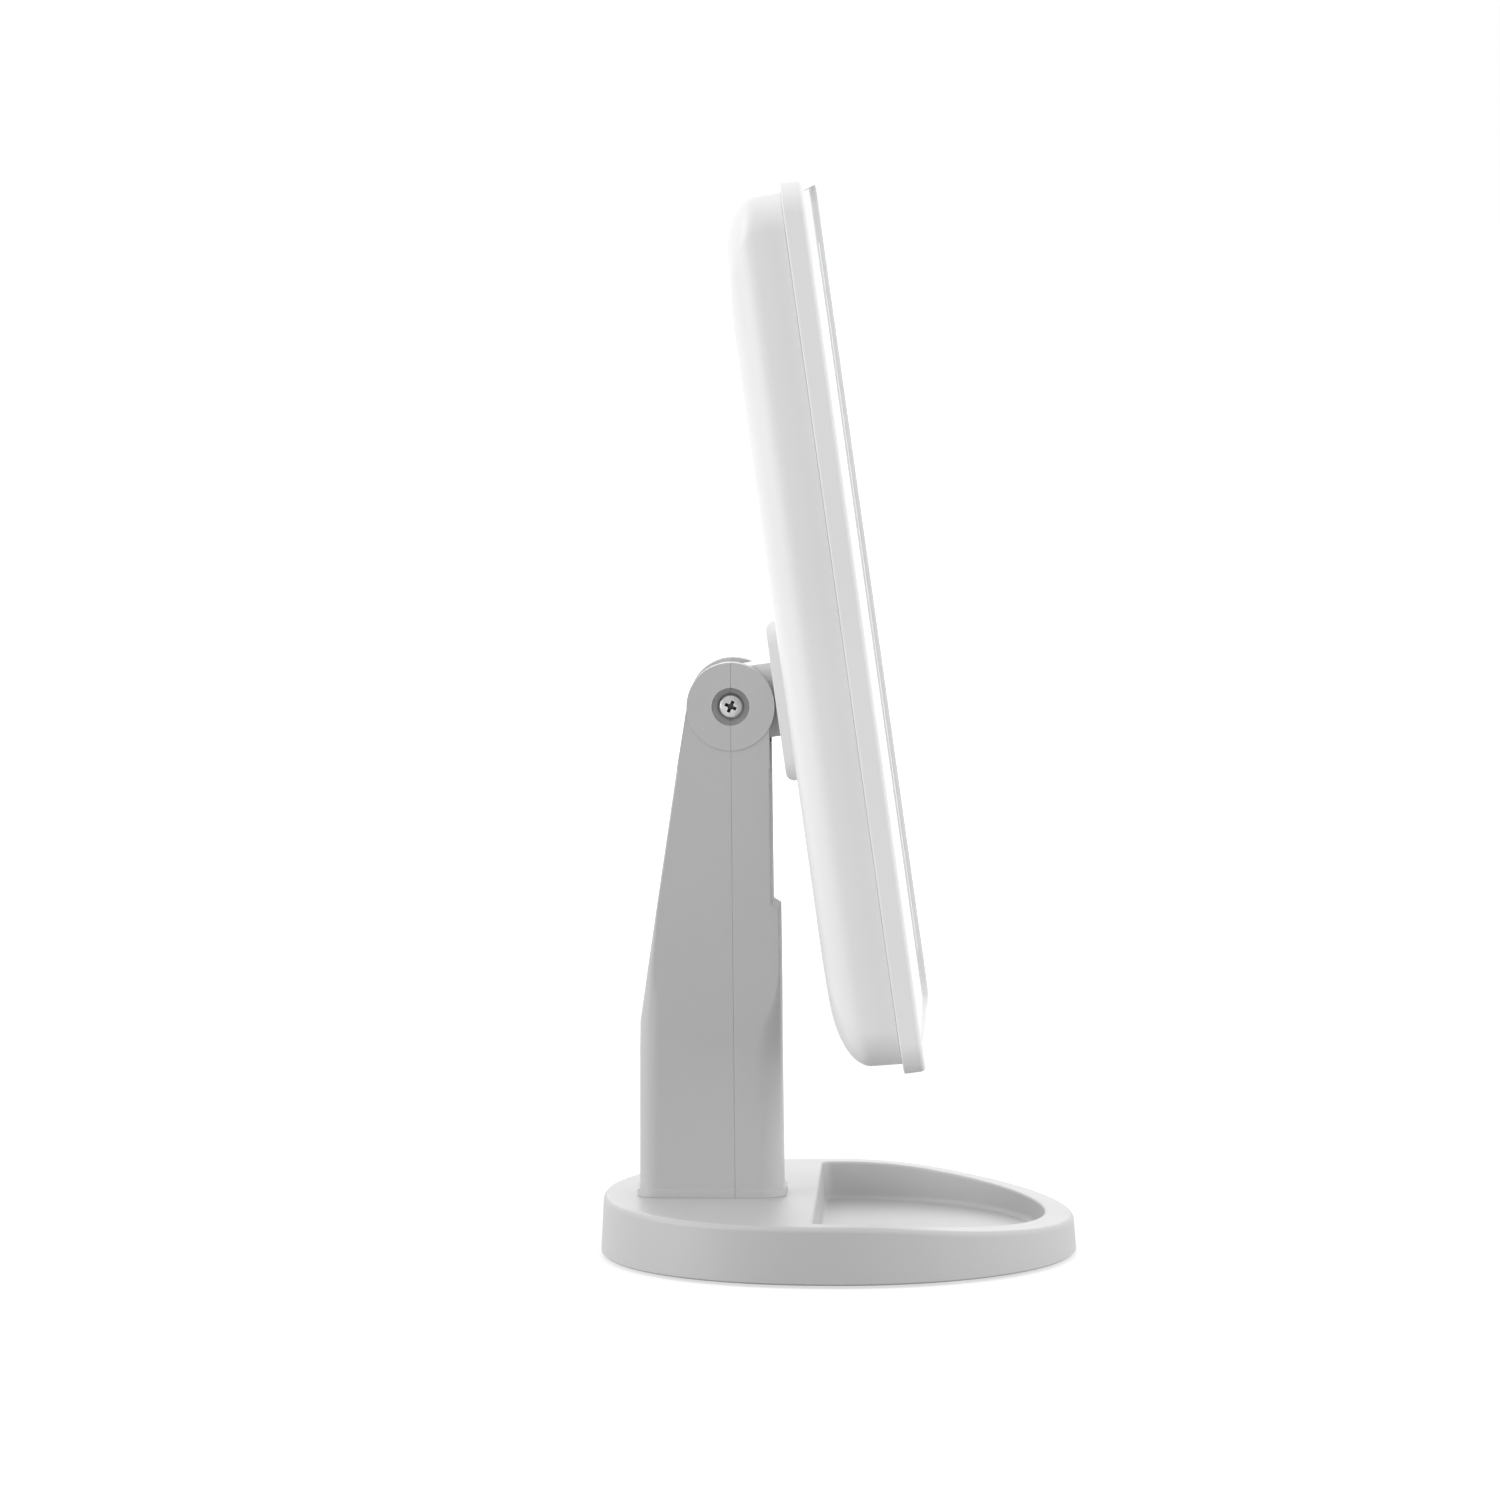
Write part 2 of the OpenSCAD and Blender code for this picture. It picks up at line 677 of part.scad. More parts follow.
module hinge_bracket() {
    half = pad_len / 2;
    color(white) in_head() difference() {
        union() {
            y_cyl(knuckle_r, -knuckle_half, knuckle_half);
            face_box(0, shell_n - pad_t / 2, -knuckle_half, knuckle_half, -knuckle_r, knuckle_r);
            intersection() {
                face_plate(pad_n, shell_n, -pad_wid / 2, pad_wid / 2, -half, half, pad_corner_r);
                // Side profile, rounded towards the hinge
                rotate([90, 0, 0]) linear_extrude(pad_wid, center = true) union() {
                    translate([pad_n, pad_edge_r - half]) square([pad_t, pad_len - 2 * pad_edge_r]);
                    translate([pad_n + pad_edge_r, -half]) square([pad_t - pad_edge_r, pad_len]);
                    for (u = [-1, 1] * (half - pad_edge_r)) translate([pad_n + pad_edge_r, u]) circle(r = pad_edge_r);
                }
            }
        }
        y_cyl(bush_r + 0.02, -2 * knuckle_half, 2 * knuckle_half);
        bracket_screw_places() x_cyl(small_pilot_r, shell_n - pad_t + 0.8, shell_n + cut, 0, 0);
    }
}

module knuckle_bush() {
    color(brass) in_head() difference() {
        y_cyl(bush_r, -knuckle_half, knuckle_half);
        y_cyl(screw_r + running_fit, -2 * knuckle_half, 2 * knuckle_half);
    }
}

module bracket_screws() {
    color(steel) in_head() bracket_screw_places()
        translate([shell_in_n, 0, 0]) rotate([0, -90, 0]) small_screw(shell_wall + 2.6);
}

// ---------- head: shell and bezel ----------

// One ring of the shell's skin: a is the angle down the curved part, off the wall's inset
function shell_ring(a, off) = let (k = 1 - cos(a)) [for (p = rounded_points(
    -half_head + shell_step + off + shell_draft + (curve_side - shell_draft - off) * k,
    half_head - shell_step - off - shell_draft - (curve_side - shell_draft - off) * k,
    head_low + shell_step + off + shell_draft + (curve_low - shell_draft - off) * k,
    head_up - shell_step - off - shell_draft - (curve_top - shell_draft - off) * k,
    shell_corner_r - off / 2 + shell_corner_grow * k, shell_corner_r - off / 2 + shell_corner_grow * k
)) [p[0], p[1], shell_n + off + (curve_depth - off) * (1 - sin(a))]];

function shell_edge_ring(n, off) = [for (p = rounded_points(
    -half_head + shell_step + off, half_head - shell_step - off,
    head_low + shell_step + off, head_up - shell_step - off,
    shell_corner_r - off / 2, shell_corner_r - off / 2
)) [p[0], p[1], n]];

module shell_skin(off, n_top) {
    rotate([90, 0, 90]) loft(concat(
        [for (a = [90 : -15 : 0]) shell_ring(a, off)],
        [shell_edge_ring(n_top, off)]
    ));
}

module shell_screw_places() {
    for (y = [-1, 1] * shell_screw_y, u = shell_screw_u) translate([0, y, u]) children();
}

module control_post_places() {
    for (y = [-1, 1] * (ctrl_half - 4), u = [ctrl_u[0] + 4, ctrl_u[1] - 4]) translate([0, y, u]) children();
}

module rear_shell() {
    color(white) in_head() difference() {
        union() {
            difference() {
                shell_skin(0, seam_n);
                shell_skin(shell_wall, seam_n + cut);
            }
            // Battery bay walls, which are the door's ledge too
            difference() {
                face_box(ledge_n, seam_n - 0.2, -bay_half - bay_wall, bay_half + bay_wall,
                    bay_up - bay_wall, bay_top + bay_wall);
                face_box(ledge_n - cut, seam_n + cut, -bay_half, bay_half, bay_up, bay_top);
            }
            shell_screw_places() x_cyl(shell_boss_r, shell_in_n - 0.5, shell_in_n + shell_boss_t, 0, 0);
            control_post_places() x_cyl(ctrl_post_r, shell_in_n - 0.5, ctrl_n, 0, 0);
        }
        // Door opening, down to the ledge
        face_box(shell_n - cut, ledge_n, -door_half - door_gap, door_half + door_gap,
            door_low - door_gap, door_high + door_gap);
        face_box(shell_n - cut, seam_n + cut, -bay_half, bay_half, bay_up, bay_top);
        // Notches for the door's tabs
        for (s = [-1, 1]) translate([0, s * tab_y, 0])
            face_box(shell_in_n, tab_n + 2.4, -tab_half - door_gap, tab_half + door_gap,
                bay_up - bay_wall - cut, bay_up + cut);
        for (s = [-1, 1]) translate([0, s * tab_y, 0])
            face_box(ledge_n - cut, shell_in_n + cut, -tab_half - door_gap, tab_half + door_gap,
                bay_up - bay_wall, bay_up + cut);
        shell_screw_places() {
            x_cyl(counterbore_r, shell_n - cut, shell_n + counterbore_depth, 0, 0);
            x_cyl(small_clear_r, shell_n - cut, seam_n, 0, 0);
        }
        bracket_screw_places() x_cyl(small_clear_r, shell_n - cut, shell_in_n + cut, 0, 0);
        control_post_places() x_cyl(small_pilot_r, shell_in_n, ctrl_n + cut, 0, 0);
        // Switch slot in a shallow finger dish, and the charging opening
        face_plate(shell_n - cut, shell_n + 0.8, switch_y - 5, switch_y + 5, switch_u - 8, switch_u + 8, 4);
        face_box(shell_n - cut, shell_in_n + cut, switch_y - knob_wid / 2 - 0.3, switch_y + knob_wid / 2 + 0.3,
            switch_u - switch_travel / 2 - knob_len / 2 - 0.4, switch_u + switch_travel / 2 + knob_len / 2 + 0.4);
        face_plate(shell_n - cut, shell_in_n + cut, usb_y - 5, usb_y + 5, switch_u - 2.1, switch_u + 2.1, 2);
    }
}

// Bezel outline at a height, drawn in by an inset
function bezel_ring(n, inset) = [for (p = rounded_points(
    inset - half_head, half_head - inset, head_low + inset, head_up - inset,
    bezel_corner_r - inset, bezel_corner_r - inset
)) [p[0], p[1], n]];

module front_bezel() {
    front_r = 1.2;
    back_r = 0.5;
    lip_in = shell_step + shell_wall + 2 * seat_gap;
    lip_t = 1.4;
    lip_h = 2;
    color(white) in_head() difference() {
        union() {
            rotate([90, 0, 90]) loft(concat(
                [bezel_ring(seam_n, back_r), bezel_ring(seam_n + back_r, 0)],
                [for (a = [0 : 22.5 : 90]) bezel_ring(face_n - front_r * (1 - sin(a)), front_r * (1 - cos(a)))]
            ));
            // Lip that locates the shell
            difference() {
                face_plate(seam_n - lip_h, seam_n + 0.5, lip_in - half_head, half_head - lip_in,
                    head_low + lip_in, head_up - lip_in, shell_corner_r - 1);
                face_plate(seam_n - lip_h - cut, seam_n, lip_in + lip_t - half_head, half_head - lip_in - lip_t,
                    head_low + lip_in + lip_t, head_up - lip_in - lip_t, shell_corner_r - 1 - lip_t);
            }
            // Walls of the two light boxes
            for (s = [-1, 1]) translate([0, s * light_y, 0]) difference() {
                face_box(led_board_n + board_t, seam_n + 0.5, -window_w / 2 - box_wall, window_w / 2 + box_wall,
                    window_u[0] - box_wall, window_u[1] + box_wall);
                face_box(led_board_n, seam_n, -window_w / 2, window_w / 2, window_u[0], window_u[1]);
            }
            shell_screw_places() x_cyl(post_r, post_low_n, seam_n + 0.5, 0, 0);
        }
        face_plate(glass_back_n, face_n + cut, mirror_rim - half_head, half_head - mirror_rim,
            head_low + mirror_rim_low, head_up - mirror_rim, pocket_r);
        for (s = [-1, 1]) face_box(seam_n - cut, glass_back_n + cut, s * light_y - window_w / 2,
            s * light_y + window_w / 2, window_u[0], window_u[1]);
        x_cyl(4, seam_n - cut, glass_back_n + cut, 0, touch_u);
        shell_screw_places() x_cyl(small_pilot_r, post_low_n - cut, seam_n - 1, 0, 0);
    }
}

module mirror_glass() {
    color([0.86, 0.89, 0.90]) in_head() face_plate(glass_back_n, glass_front_n,
        mirror_rim + seat_gap - half_head, half_head - mirror_rim - seat_gap,
        head_low + mirror_rim_low + seat_gap, head_up - mirror_rim - seat_gap, pocket_r - seat_gap);
}

module shell_screws() {
    color(steel) in_head() shell_screw_places()
        translate([shell_n + counterbore_depth, 0, 0]) rotate([0, 90, 0]) small_screw(10);
}

// ---------- head: lights and electronics ----------

module diffusers() {
    color([0.97, 0.97, 0.95]) in_head() for (s = [-1, 1]) translate([0, s * light_y, 0])
        face_box(glass_back_n - 1.3, glass_back_n, seat_gap - window_w / 2, window_w / 2 - seat_gap,
            window_u[0] + seat_gap, window_u[1] - seat_gap);
}

module led_boards() {
    color([0.92, 0.92, 0.90]) in_head() for (s = [-1, 1]) translate([0, s * light_y, 0])
        face_box(led_board_n, led_board_n + board_t, -led_board_half, led_board_half,
            window_u[0] - 3, window_u[1] + 3);
}

module leds() {
    run = window_u[1] - window_u[0];
    pitch = run / leds_per_side;
    color([0.98, 0.90, 0.45]) in_head() for (s = [-1, 1], i = [0 : leds_per_side - 1])
        translate([led_board_n + board_t, s * light_y - led_size[1] / 2,
            window_u[0] + pitch * (i + 0.5) - led_size[2] / 2]) cube(led_size);
}

module control_board() {
    color(green) in_head() difference() {
        face_plate(ctrl_n, ctrl_n + board_t, -ctrl_half, ctrl_half, ctrl_u[0], ctrl_u[1], 2);
        control_post_places() x_cyl(small_clear_r, ctrl_n - cut, ctrl_n + board_t + cut, 0, 0);
    }
}

module board_screws() {
    color(steel) in_head() control_post_places()
        translate([ctrl_n + board_t, 0, 0]) rotate([0, -90, 0]) small_screw(ctrl_n + board_t - shell_in_n - 1);
}

module touch_spring() {
    color(brass) in_head() {
        x_cyl(2.4, ctrl_n + board_t, glass_back_n - 0.5, 0, touch_u);
        x_cyl(3.4, glass_back_n - 0.5, glass_back_n, 0, touch_u);
    }
}

module battery_cells() {
    nub_h = 1.2;
    color([0.72, 0.74, 0.76]) in_head() for (i = [0 : cell_count - 1])
        translate([cell_n, cell_pitch * (i - (cell_count - 1) / 2), bay_up + contact_low]) {
            up = i % 2 == 0;
            translate([0, 0, up ? 0 : nub_h]) cylinder(r = cell_r, h = cell_len - nub_h);
            translate([0, 0, up ? cell_len - nub_h - 0.1 : 0]) cylinder(r = 2.7, h = nub_h + 0.1);
        }
}

// A plate at each end of each cell, with a nub or a coil that reaches the cell
module battery_contacts() {
    color(steel) in_head() for (i = [0 : cell_count - 1])
        translate([cell_n, cell_pitch * (i - (cell_count - 1) / 2), 0]) {
            for (u = [bay_up, bay_top - contact_t])
                translate([-contact_deep / 2, -contact_wid / 2, u]) cube([contact_deep, contact_wid, contact_t]);
            translate([0, 0, bay_up + contact_t / 2]) cylinder(r = contact_r, h = contact_low - contact_t / 2);
            translate([0, 0, bay_top - contact_high]) cylinder(r = contact_r, h = contact_high - contact_t / 2);
        }
}

function unit(v) = v / norm(v);

// A lead swept through a few points, mitred at its bends
module lead(points, r = 0.7, sides = 8) {
    last = len(points) - 1;
    loft([for (i = [0 : last]) let (
        before = i > 0 ? unit(points[i] - points[i - 1]) : [0, 0, 0],
        after = i < last ? unit(points[i + 1] - points[i]) : [0, 0, 0],
        along = unit(before + after),
        side = unit(cross([1, 1, 1], along)),
        up = cross(along, side)
    ) [for (k = [0 : sides - 1]) points[i] + r * (cos(360 * k / sides) * side + sin(360 * k / sides) * up)]]);
}

// From the battery bay to the control board, and from there to each row of lights
module leads() {
    board_n = ctrl_n + board_t;
    lead_n = board_n + 2.5;
    bay_y = bay_half + bay_wall;
    supply_u = ctrl_u[1] - 3;
    light_u = ctrl_u[1] - 12;
    bay_lead_u = bay_up + 6;
    // Each lead leaves and arrives square to what it meets
    color([0.65, 0.12, 0.10]) in_head() {
        lead([[lead_n, bay_y, bay_lead_u], [lead_n, bay_y + 2, bay_lead_u],
            [lead_n, bay_y + 2, supply_u], [board_n, bay_y + 2, supply_u]]);
        for (s = [-1, 1])
            lead([[board_n, s * (ctrl_half - 12), light_u], [lead_n, s * (ctrl_half - 12), light_u],
                [lead_n, s * light_y, light_u], [led_board_n, s * light_y, light_u]]);
    }
}

module switch_body() {
    color([0.15, 0.15, 0.16]) in_head() difference() {
        face_box(shell_in_n + 0.1, ctrl_n, switch_y - 2.4, switch_y + 2.4, switch_u - 5, switch_u + 5);
        face_box(shell_in_n - cut, shell_in_n + 2.2, switch_y - 1.2, switch_y + 1.2,
            switch_u - switch_travel / 2 - 1.8, switch_u + switch_travel / 2 + 1.8);
    }
}

module usb_socket() {
    low_n = shell_n + 0.5;
    color(steel) in_head() translate([0, usb_y, switch_u]) {
        difference() {
            face_plate(low_n, ctrl_n, -4.6, 4.6, -1.7, 1.7, 1.6);
            face_plate(low_n - cut, ctrl_n - 0.6, -4.2, 4.2, -1.3, 1.3, 1.2);
        }
        face_box(low_n + 0.6, ctrl_n - 0.3, -3.3, 3.3, -0.35, 0.35);
    }
}

// ---------- pieces that move on the head ----------

// Flush door with two tabs at its low edge and a finger latch at its high edge
module battery_door() {
    latch_half = 7;
    latch_len = 9;
    slit = 0.8;
    color(white) in_head() difference() {
        union() {
            face_plate(shell_n, ledge_n, -door_half, door_half, door_low, door_high, 1);
            for (s = [-1, 1]) translate([0, s * tab_y, 0]) {
                face_box(tab_n, tab_n + tab_t, -tab_half, tab_half, tab_low, bay_up - 0.2);
                face_box(ledge_n - 0.1, tab_n + tab_t, -tab_half, tab_half, door_low + 0.1, bay_up - 0.2);
            }
        }
        for (s = [-1, 1]) translate([0, s * latch_half, 0])
            face_box(shell_n - cut, ledge_n + cut, -slit / 2, slit / 2, door_high - latch_len, door_high + cut);
        for (i = [0 : 3]) face_box(shell_n - cut, shell_n + 0.4, 1.6 - latch_half, latch_half - 1.6,
            door_high - 3 - 1.6 * i, door_high - 2.2 - 1.6 * i);
    }
}

// Drawn at the off end of its slot
module switch_knob() {
    color([0.15, 0.15, 0.16]) in_head() translate([0, switch_y, switch_u - switch_travel / 2]) difference() {
        union() {
            face_box(shell_n + 0.3, shell_in_n - 0.1, -knob_wid / 2, knob_wid / 2, -knob_len / 2, knob_len / 2);
            face_box(shell_in_n - 0.2, shell_in_n + 1.8, -0.9, 0.9, -1.4, 1.4);
        }
        for (i = [-1 : 1]) face_box(shell_n - cut, shell_n + 0.6, -knob_wid, knob_wid, i * 1.3 - 0.25, i * 1.3 + 0.25);
    }
}

base_shell();
base_cover();
ballast_plate();
rubber_feet();
base_cover_screws();
column_front_shell();
column_rear_shell();
column_screws();
foot_screws();
hinge_screw();
hinge_nut();
spring_washer();
friction_washers();
hinge_bracket();
knuckle_bush();
bracket_screws();
rear_shell();
front_bezel();
mirror_glass();
diffusers();
led_boards();
leds();
control_board();
board_screws();
touch_spring();
battery_cells();
battery_contacts();
leads();
shell_screws();
switch_body();
usb_socket();
battery_door();
switch_knob();
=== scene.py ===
# A free-standing vanity mirror: an oval base with a shallow tray, a two-part column, and a deep
# mirror head on a friction hinge. The pieces follow in the order in which they are put together.
# +X is the front, +Z is up, and lengths are millimetres until a piece is put in its place.

import json
import math

import bmesh
import bpy
from mathutils import Matrix, Vector


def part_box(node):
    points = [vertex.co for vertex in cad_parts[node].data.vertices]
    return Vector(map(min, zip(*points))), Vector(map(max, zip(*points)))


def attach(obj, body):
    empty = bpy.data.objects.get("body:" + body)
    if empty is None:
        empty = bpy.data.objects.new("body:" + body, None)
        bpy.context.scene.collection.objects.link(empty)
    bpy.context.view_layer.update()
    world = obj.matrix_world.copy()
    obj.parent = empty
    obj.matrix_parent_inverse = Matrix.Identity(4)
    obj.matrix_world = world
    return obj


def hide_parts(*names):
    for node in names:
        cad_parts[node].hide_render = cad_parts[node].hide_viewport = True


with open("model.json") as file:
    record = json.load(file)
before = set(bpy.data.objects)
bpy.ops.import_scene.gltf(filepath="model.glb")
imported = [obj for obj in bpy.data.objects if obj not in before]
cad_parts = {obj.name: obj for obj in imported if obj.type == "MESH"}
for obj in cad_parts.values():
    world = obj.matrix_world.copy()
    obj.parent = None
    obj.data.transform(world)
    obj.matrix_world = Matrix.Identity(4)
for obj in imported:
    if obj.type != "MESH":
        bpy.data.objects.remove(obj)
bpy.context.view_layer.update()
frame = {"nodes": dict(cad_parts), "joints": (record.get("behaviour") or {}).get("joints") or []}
nodes = frame["nodes"]
joints = {joint["name"]: joint for joint in frame["joints"]}

MM = 0.001
STAND = Matrix.Scale(MM, 4)

# ---------- the view ----------
# A long lens 2.3 m away looks at the object's side, from just above the head and a little down.
# From there the far side of the base and head is drawn only slightly smaller than the near one.

camera_data = bpy.data.cameras.new("camera")
camera_data.sensor_width = 36
camera_data.lens = 214.5
camera_data.clip_end = 60
camera = bpy.data.objects.new("camera", camera_data)
camera.location = (0.0388, -2.310, 0.2977)
look_down = 4.134
look_left = 1.536
camera.rotation_euler = (math.radians(90 - look_down), 0, math.radians(look_left))
bpy.context.scene.collection.objects.link(camera)
bpy.context.scene.camera = camera
bpy.context.scene.view_settings.view_transform = "Standard"

# ---------- the studio ----------
# A white sweep with soft boxes before and behind the object, a weaker one beyond it and a faint
# one above. The front box faces the mirror, so it is kept out of reflections.


class Wire:
    """A shader socket that sums like a number; each sum adds its Math node."""

    def __init__(self, tree, socket):
        self.tree = tree
        self.socket = socket

    def sum(self, operation, *values):
        node = self.tree.nodes.new("ShaderNodeMath")
        node.operation = operation
        for port, value in zip(node.inputs, values):
            if isinstance(value, Wire):
                self.tree.links.new(value.socket, port)
            else:
                port.default_value = value
        return Wire(self.tree, node.outputs[0])

    def __add__(self, other):
        return self.sum("ADD", self, other)

    def __radd__(self, other):
        return self.sum("ADD", other, self)

    def __sub__(self, other):
        return self.sum("SUBTRACT", self, other)

    def __rsub__(self, other):
        return self.sum("SUBTRACT", other, self)

    def __mul__(self, other):
        return self.sum("MULTIPLY", self, other)

    def __gt__(self, other):
        return self.sum("GREATER_THAN", self, other)

    def __lt__(self, other):
        return self.sum("LESS_THAN", self, other)

    def size(self):
        return self.sum("ABSOLUTE", self)

    def root(self):
        return self.sum("SQRT", self)

    def rise(self, low, high):
        """0 below low, 1 above high, and a soft step between."""
        node = self.tree.nodes.new("ShaderNodeMapRange")
        node.interpolation_type = "SMOOTHSTEP"
        self.tree.links.new(self.socket, node.inputs["Value"])
        node.inputs["From Min"].default_value = low
        node.inputs["From Max"].default_value = high
        return Wire(self.tree, node.outputs["Result"])


class Paint:
    """A material under construction."""

    def __init__(self, name, colour, roughness, **constants):
        self.material = bpy.data.materials.new(name)
        self.material.use_nodes = True
        self.tree = self.material.node_tree
        self.shader = self.tree.nodes["Principled BSDF"]
        self.shader.inputs["Base Color"].default_value = (*colour, 1)
        self.shader.inputs["Roughness"].default_value = roughness
        for socket, value in constants.items():
            self.shader.inputs[socket.replace("_", " ")].default_value = value

    def node(self, kind, settings=None, inputs=None, out=0):
        made = self.tree.nodes.new("ShaderNode" + kind)
        for name, value in (settings or {}).items():
            setattr(made, name, value)
        for name, value in (inputs or {}).items():
            if isinstance(value, Wire):
                self.tree.links.new(value.socket, made.inputs[name])
            else:
                made.inputs[name].default_value = value
        return Wire(self.tree, made.outputs[out])

    def feed(self, socket, wire):
        self.tree.links.new(wire.socket, self.shader.inputs[socket])

    def place(self):
        return self.node("TexCoord", out="Object")

    def axes(self, place):
        split = self.node("SeparateXYZ", inputs={"Vector": place}).socket.node
        return [Wire(self.tree, split.outputs[axis]) for axis in "XYZ"]

    def noise(self, scale, detail=2, roughness=0.5):
        return self.node("TexNoise", inputs={
            "Vector": self.place(), "Scale": scale, "Detail": detail, "Roughness": roughness,
        }, out="Fac")

    def blend(self, mask, first, second):
        """Colour first where the mask is 0, second where it is 1."""
        made = self.tree.nodes.new("ShaderNodeMix")
        made.data_type = "RGBA"
        colours = [socket for socket in made.inputs if socket.type == "RGBA"]
        self.tree.links.new(mask.socket, made.inputs["Factor"])
        for port, colour in zip(colours, (first, second)):
            if isinstance(colour, Wire):
                self.tree.links.new(colour.socket, port)
            else:
                port.default_value = (*colour, 1)
        return Wire(self.tree, [socket for socket in made.outputs if socket.type == "RGBA"][0])

    def relief(self, height, depth):
        """Bump of a depth in metres."""
        self.feed("Normal", self.node("Bump", inputs={
            "Strength": 1.0, "Distance": depth, "Height": height,
        }, out="Normal"))


def soft_box(name, spot, width, height, watts):
    """A lamp with a square face that is turned to the middle of the object."""
    lamp = bpy.data.lights.new(name, "AREA")
    lamp.shape = "RECTANGLE"
    lamp.size = width
    lamp.size_y = height
    lamp.energy = watts
    obj = bpy.data.objects.new(name, lamp)
    obj.location = spot
    obj.rotation_euler = (middle - Vector(spot)).to_track_quat("-Z", "Y").to_euler()
    bpy.context.scene.collection.objects.link(obj)
    return obj


middle = Vector((0, 0, 0.13))
front_box = soft_box("box_front_side", (1.25, -0.25, 0.42), 1.0, 0.9, 7)
front_box.visible_glossy = False
soft_box("box_rear_side", (-1.25, -0.25, 0.42), 1.0, 0.9, 7)
soft_box("box_above", (0, 0.1, 1.45), 1.1, 1.1, 1)
soft_box("box_far_side", (0, 1.4, 0.7), 1.0, 0.8, 4)

sky = bpy.data.worlds.new("sky")
sky.use_nodes = True
bpy.context.scene.world = sky
sky_tree = sky.node_tree
backdrop_white = 1.0
sky_fill = 0.86


def looked_at(tree):
    """1 for rays from the camera, also by way of metal or glass, and 0 for the light on the object."""
    rays = tree.nodes.new("ShaderNodeLightPath")
    direct, glossy, through = (
        Wire(tree, rays.outputs["Is %s Ray" % kind]) for kind in ("Camera", "Glossy", "Transmission")
    )
    mirrored = glossy.sum("MAXIMUM", glossy, through)
    return mirrored.sum("MAXIMUM", mirrored, direct)


level = looked_at(sky_tree) * (backdrop_white - sky_fill) + sky_fill
sky_tree.links.new(level.socket, sky_tree.nodes["Background"].inputs["Strength"])
sky_tree.nodes["Background"].inputs["Color"].default_value = (1, 1, 1, 1)

sweep = bmesh.new()
sweep_reach = 20
bmesh.ops.create_grid(sweep, x_segments=1, y_segments=1, size=sweep_reach)
sweep_mesh = bpy.data.meshes.new("sweep")
sweep.to_mesh(sweep_mesh)
floor = bpy.data.objects.new("sweep", sweep_mesh)
bpy.context.scene.collection.objects.link(floor)

paper = Paint("paper", (0.4, 0.4, 0.4), 0.9, Specular_IOR_Level=0.0)
glow = 0.66
shadow_from = 0.3
shadow_gone = 1.1
across, along, _ = paper.axes(paper.place())
away = (across * across + along * along).root().rise(shadow_from, shadow_gone)
lift = looked_at(paper.tree) * (away * (1 - glow) + glow)
paper.shader.inputs["Emission Color"].default_value = (1, 1, 1, 1)
paper.tree.links.new(lift.socket, paper.shader.inputs["Emission Strength"])
sweep_mesh.materials.append(paper.material)

# ---------- base ----------
# One moulding in light grey ABS: a level deck for the column, a rim that falls towards the front
# and a shallow tray behind a straight step. It is hollow under the deck and closed from below.


def oval_point(angle, inset, half_len, half_wid, rear_square):
    """A point of the base's outline: an ellipse whose rear half is a little squarer."""
    power = 2 / rear_square if math.cos(angle) < 0 else 1
    across = math.copysign(abs(math.cos(angle)) ** power, math.cos(angle))
    along = math.copysign(abs(math.sin(angle)) ** power, math.sin(angle))
    return (half_len - inset) * across, (half_wid - inset) * along


def start_ring(bm, count, place):
    """A closed ring of vertices, each put where place(i) says."""
    ring = bmesh.ops.create_circle(bm, segments=count, radius=1)["verts"]
    for i, vert in enumerate(ring):
        vert.co = place(i)
    return ring


def next_ring(bm, ring, place):
    """Draws the ring on to its next place and returns it."""
    count = len(ring)
    edges = [bm.edges.get((ring[i], ring[(i + 1) % count])) for i in range(count)]
    fresh = bmesh.ops.extrude_edge_only(bm, edges=edges)["geom"]
    fresh = {item for item in fresh if isinstance(item, bmesh.types.BMVert)}
    drawn = []
    for vert in ring:
        neighbours = [edge.other_vert(vert) for edge in vert.link_edges]
        drawn.append(next(other for other in neighbours if other in fresh))
    for i, vert in enumerate(drawn):
        vert.co = place(i)
    return drawn


def piece(name, bm, matrix, body, stands_for, material):
    """Puts a finished bmesh in the scene; edges up to the smooth angle shade as one surface."""
    smooth = math.radians(35)
    bmesh.ops.recalc_face_normals(bm, faces=bm.faces)
    bm.transform(matrix)
    for face in bm.faces:
        face.smooth = True
    for edge in bm.edges:
        edge.smooth = len(edge.link_faces) == 2 and edge.calc_face_angle(0) < smooth
    mesh = bpy.data.meshes.new(name)
    bm.to_mesh(mesh)
    bm.free()
    obj = bpy.data.objects.new(name, mesh)
    bpy.context.scene.collection.objects.link(obj)
    mesh.materials.append(material)
    weight = obj.modifiers.new("weight", "WEIGHTED_NORMAL")
    weight.keep_sharp = True
    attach(obj, body)
    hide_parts(stands_for)
    return obj


def carved(bm, tool, operation="DIFFERENCE"):
    """The first solid with the second cut out of it, or joined to it; frees both."""
    pair = []
    for part in (bm, tool):
        bmesh.ops.recalc_face_normals(part, faces=part.faces)
        mesh = bpy.data.meshes.new("carving")
        part.to_mesh(mesh)
        part.free()
        obj = bpy.data.objects.new("carving", mesh)
        bpy.context.scene.collection.objects.link(obj)
        pair.append(obj)
    work, knife = pair
    boolean = work.modifiers.new("carve", "BOOLEAN")
    boolean.operation = operation
    boolean.solver = "EXACT"
    boolean.object = knife
    bpy.context.view_layer.update()
    result = bpy.data.meshes.new_from_object(work.evaluated_get(bpy.context.evaluated_depsgraph_get()))
    cut = bmesh.new()
    cut.from_mesh(result)
    for obj in pair:
        old = obj.data
        bpy.data.objects.remove(obj)
        bpy.data.meshes.remove(old)
    bpy.data.meshes.remove(result)
    return cut


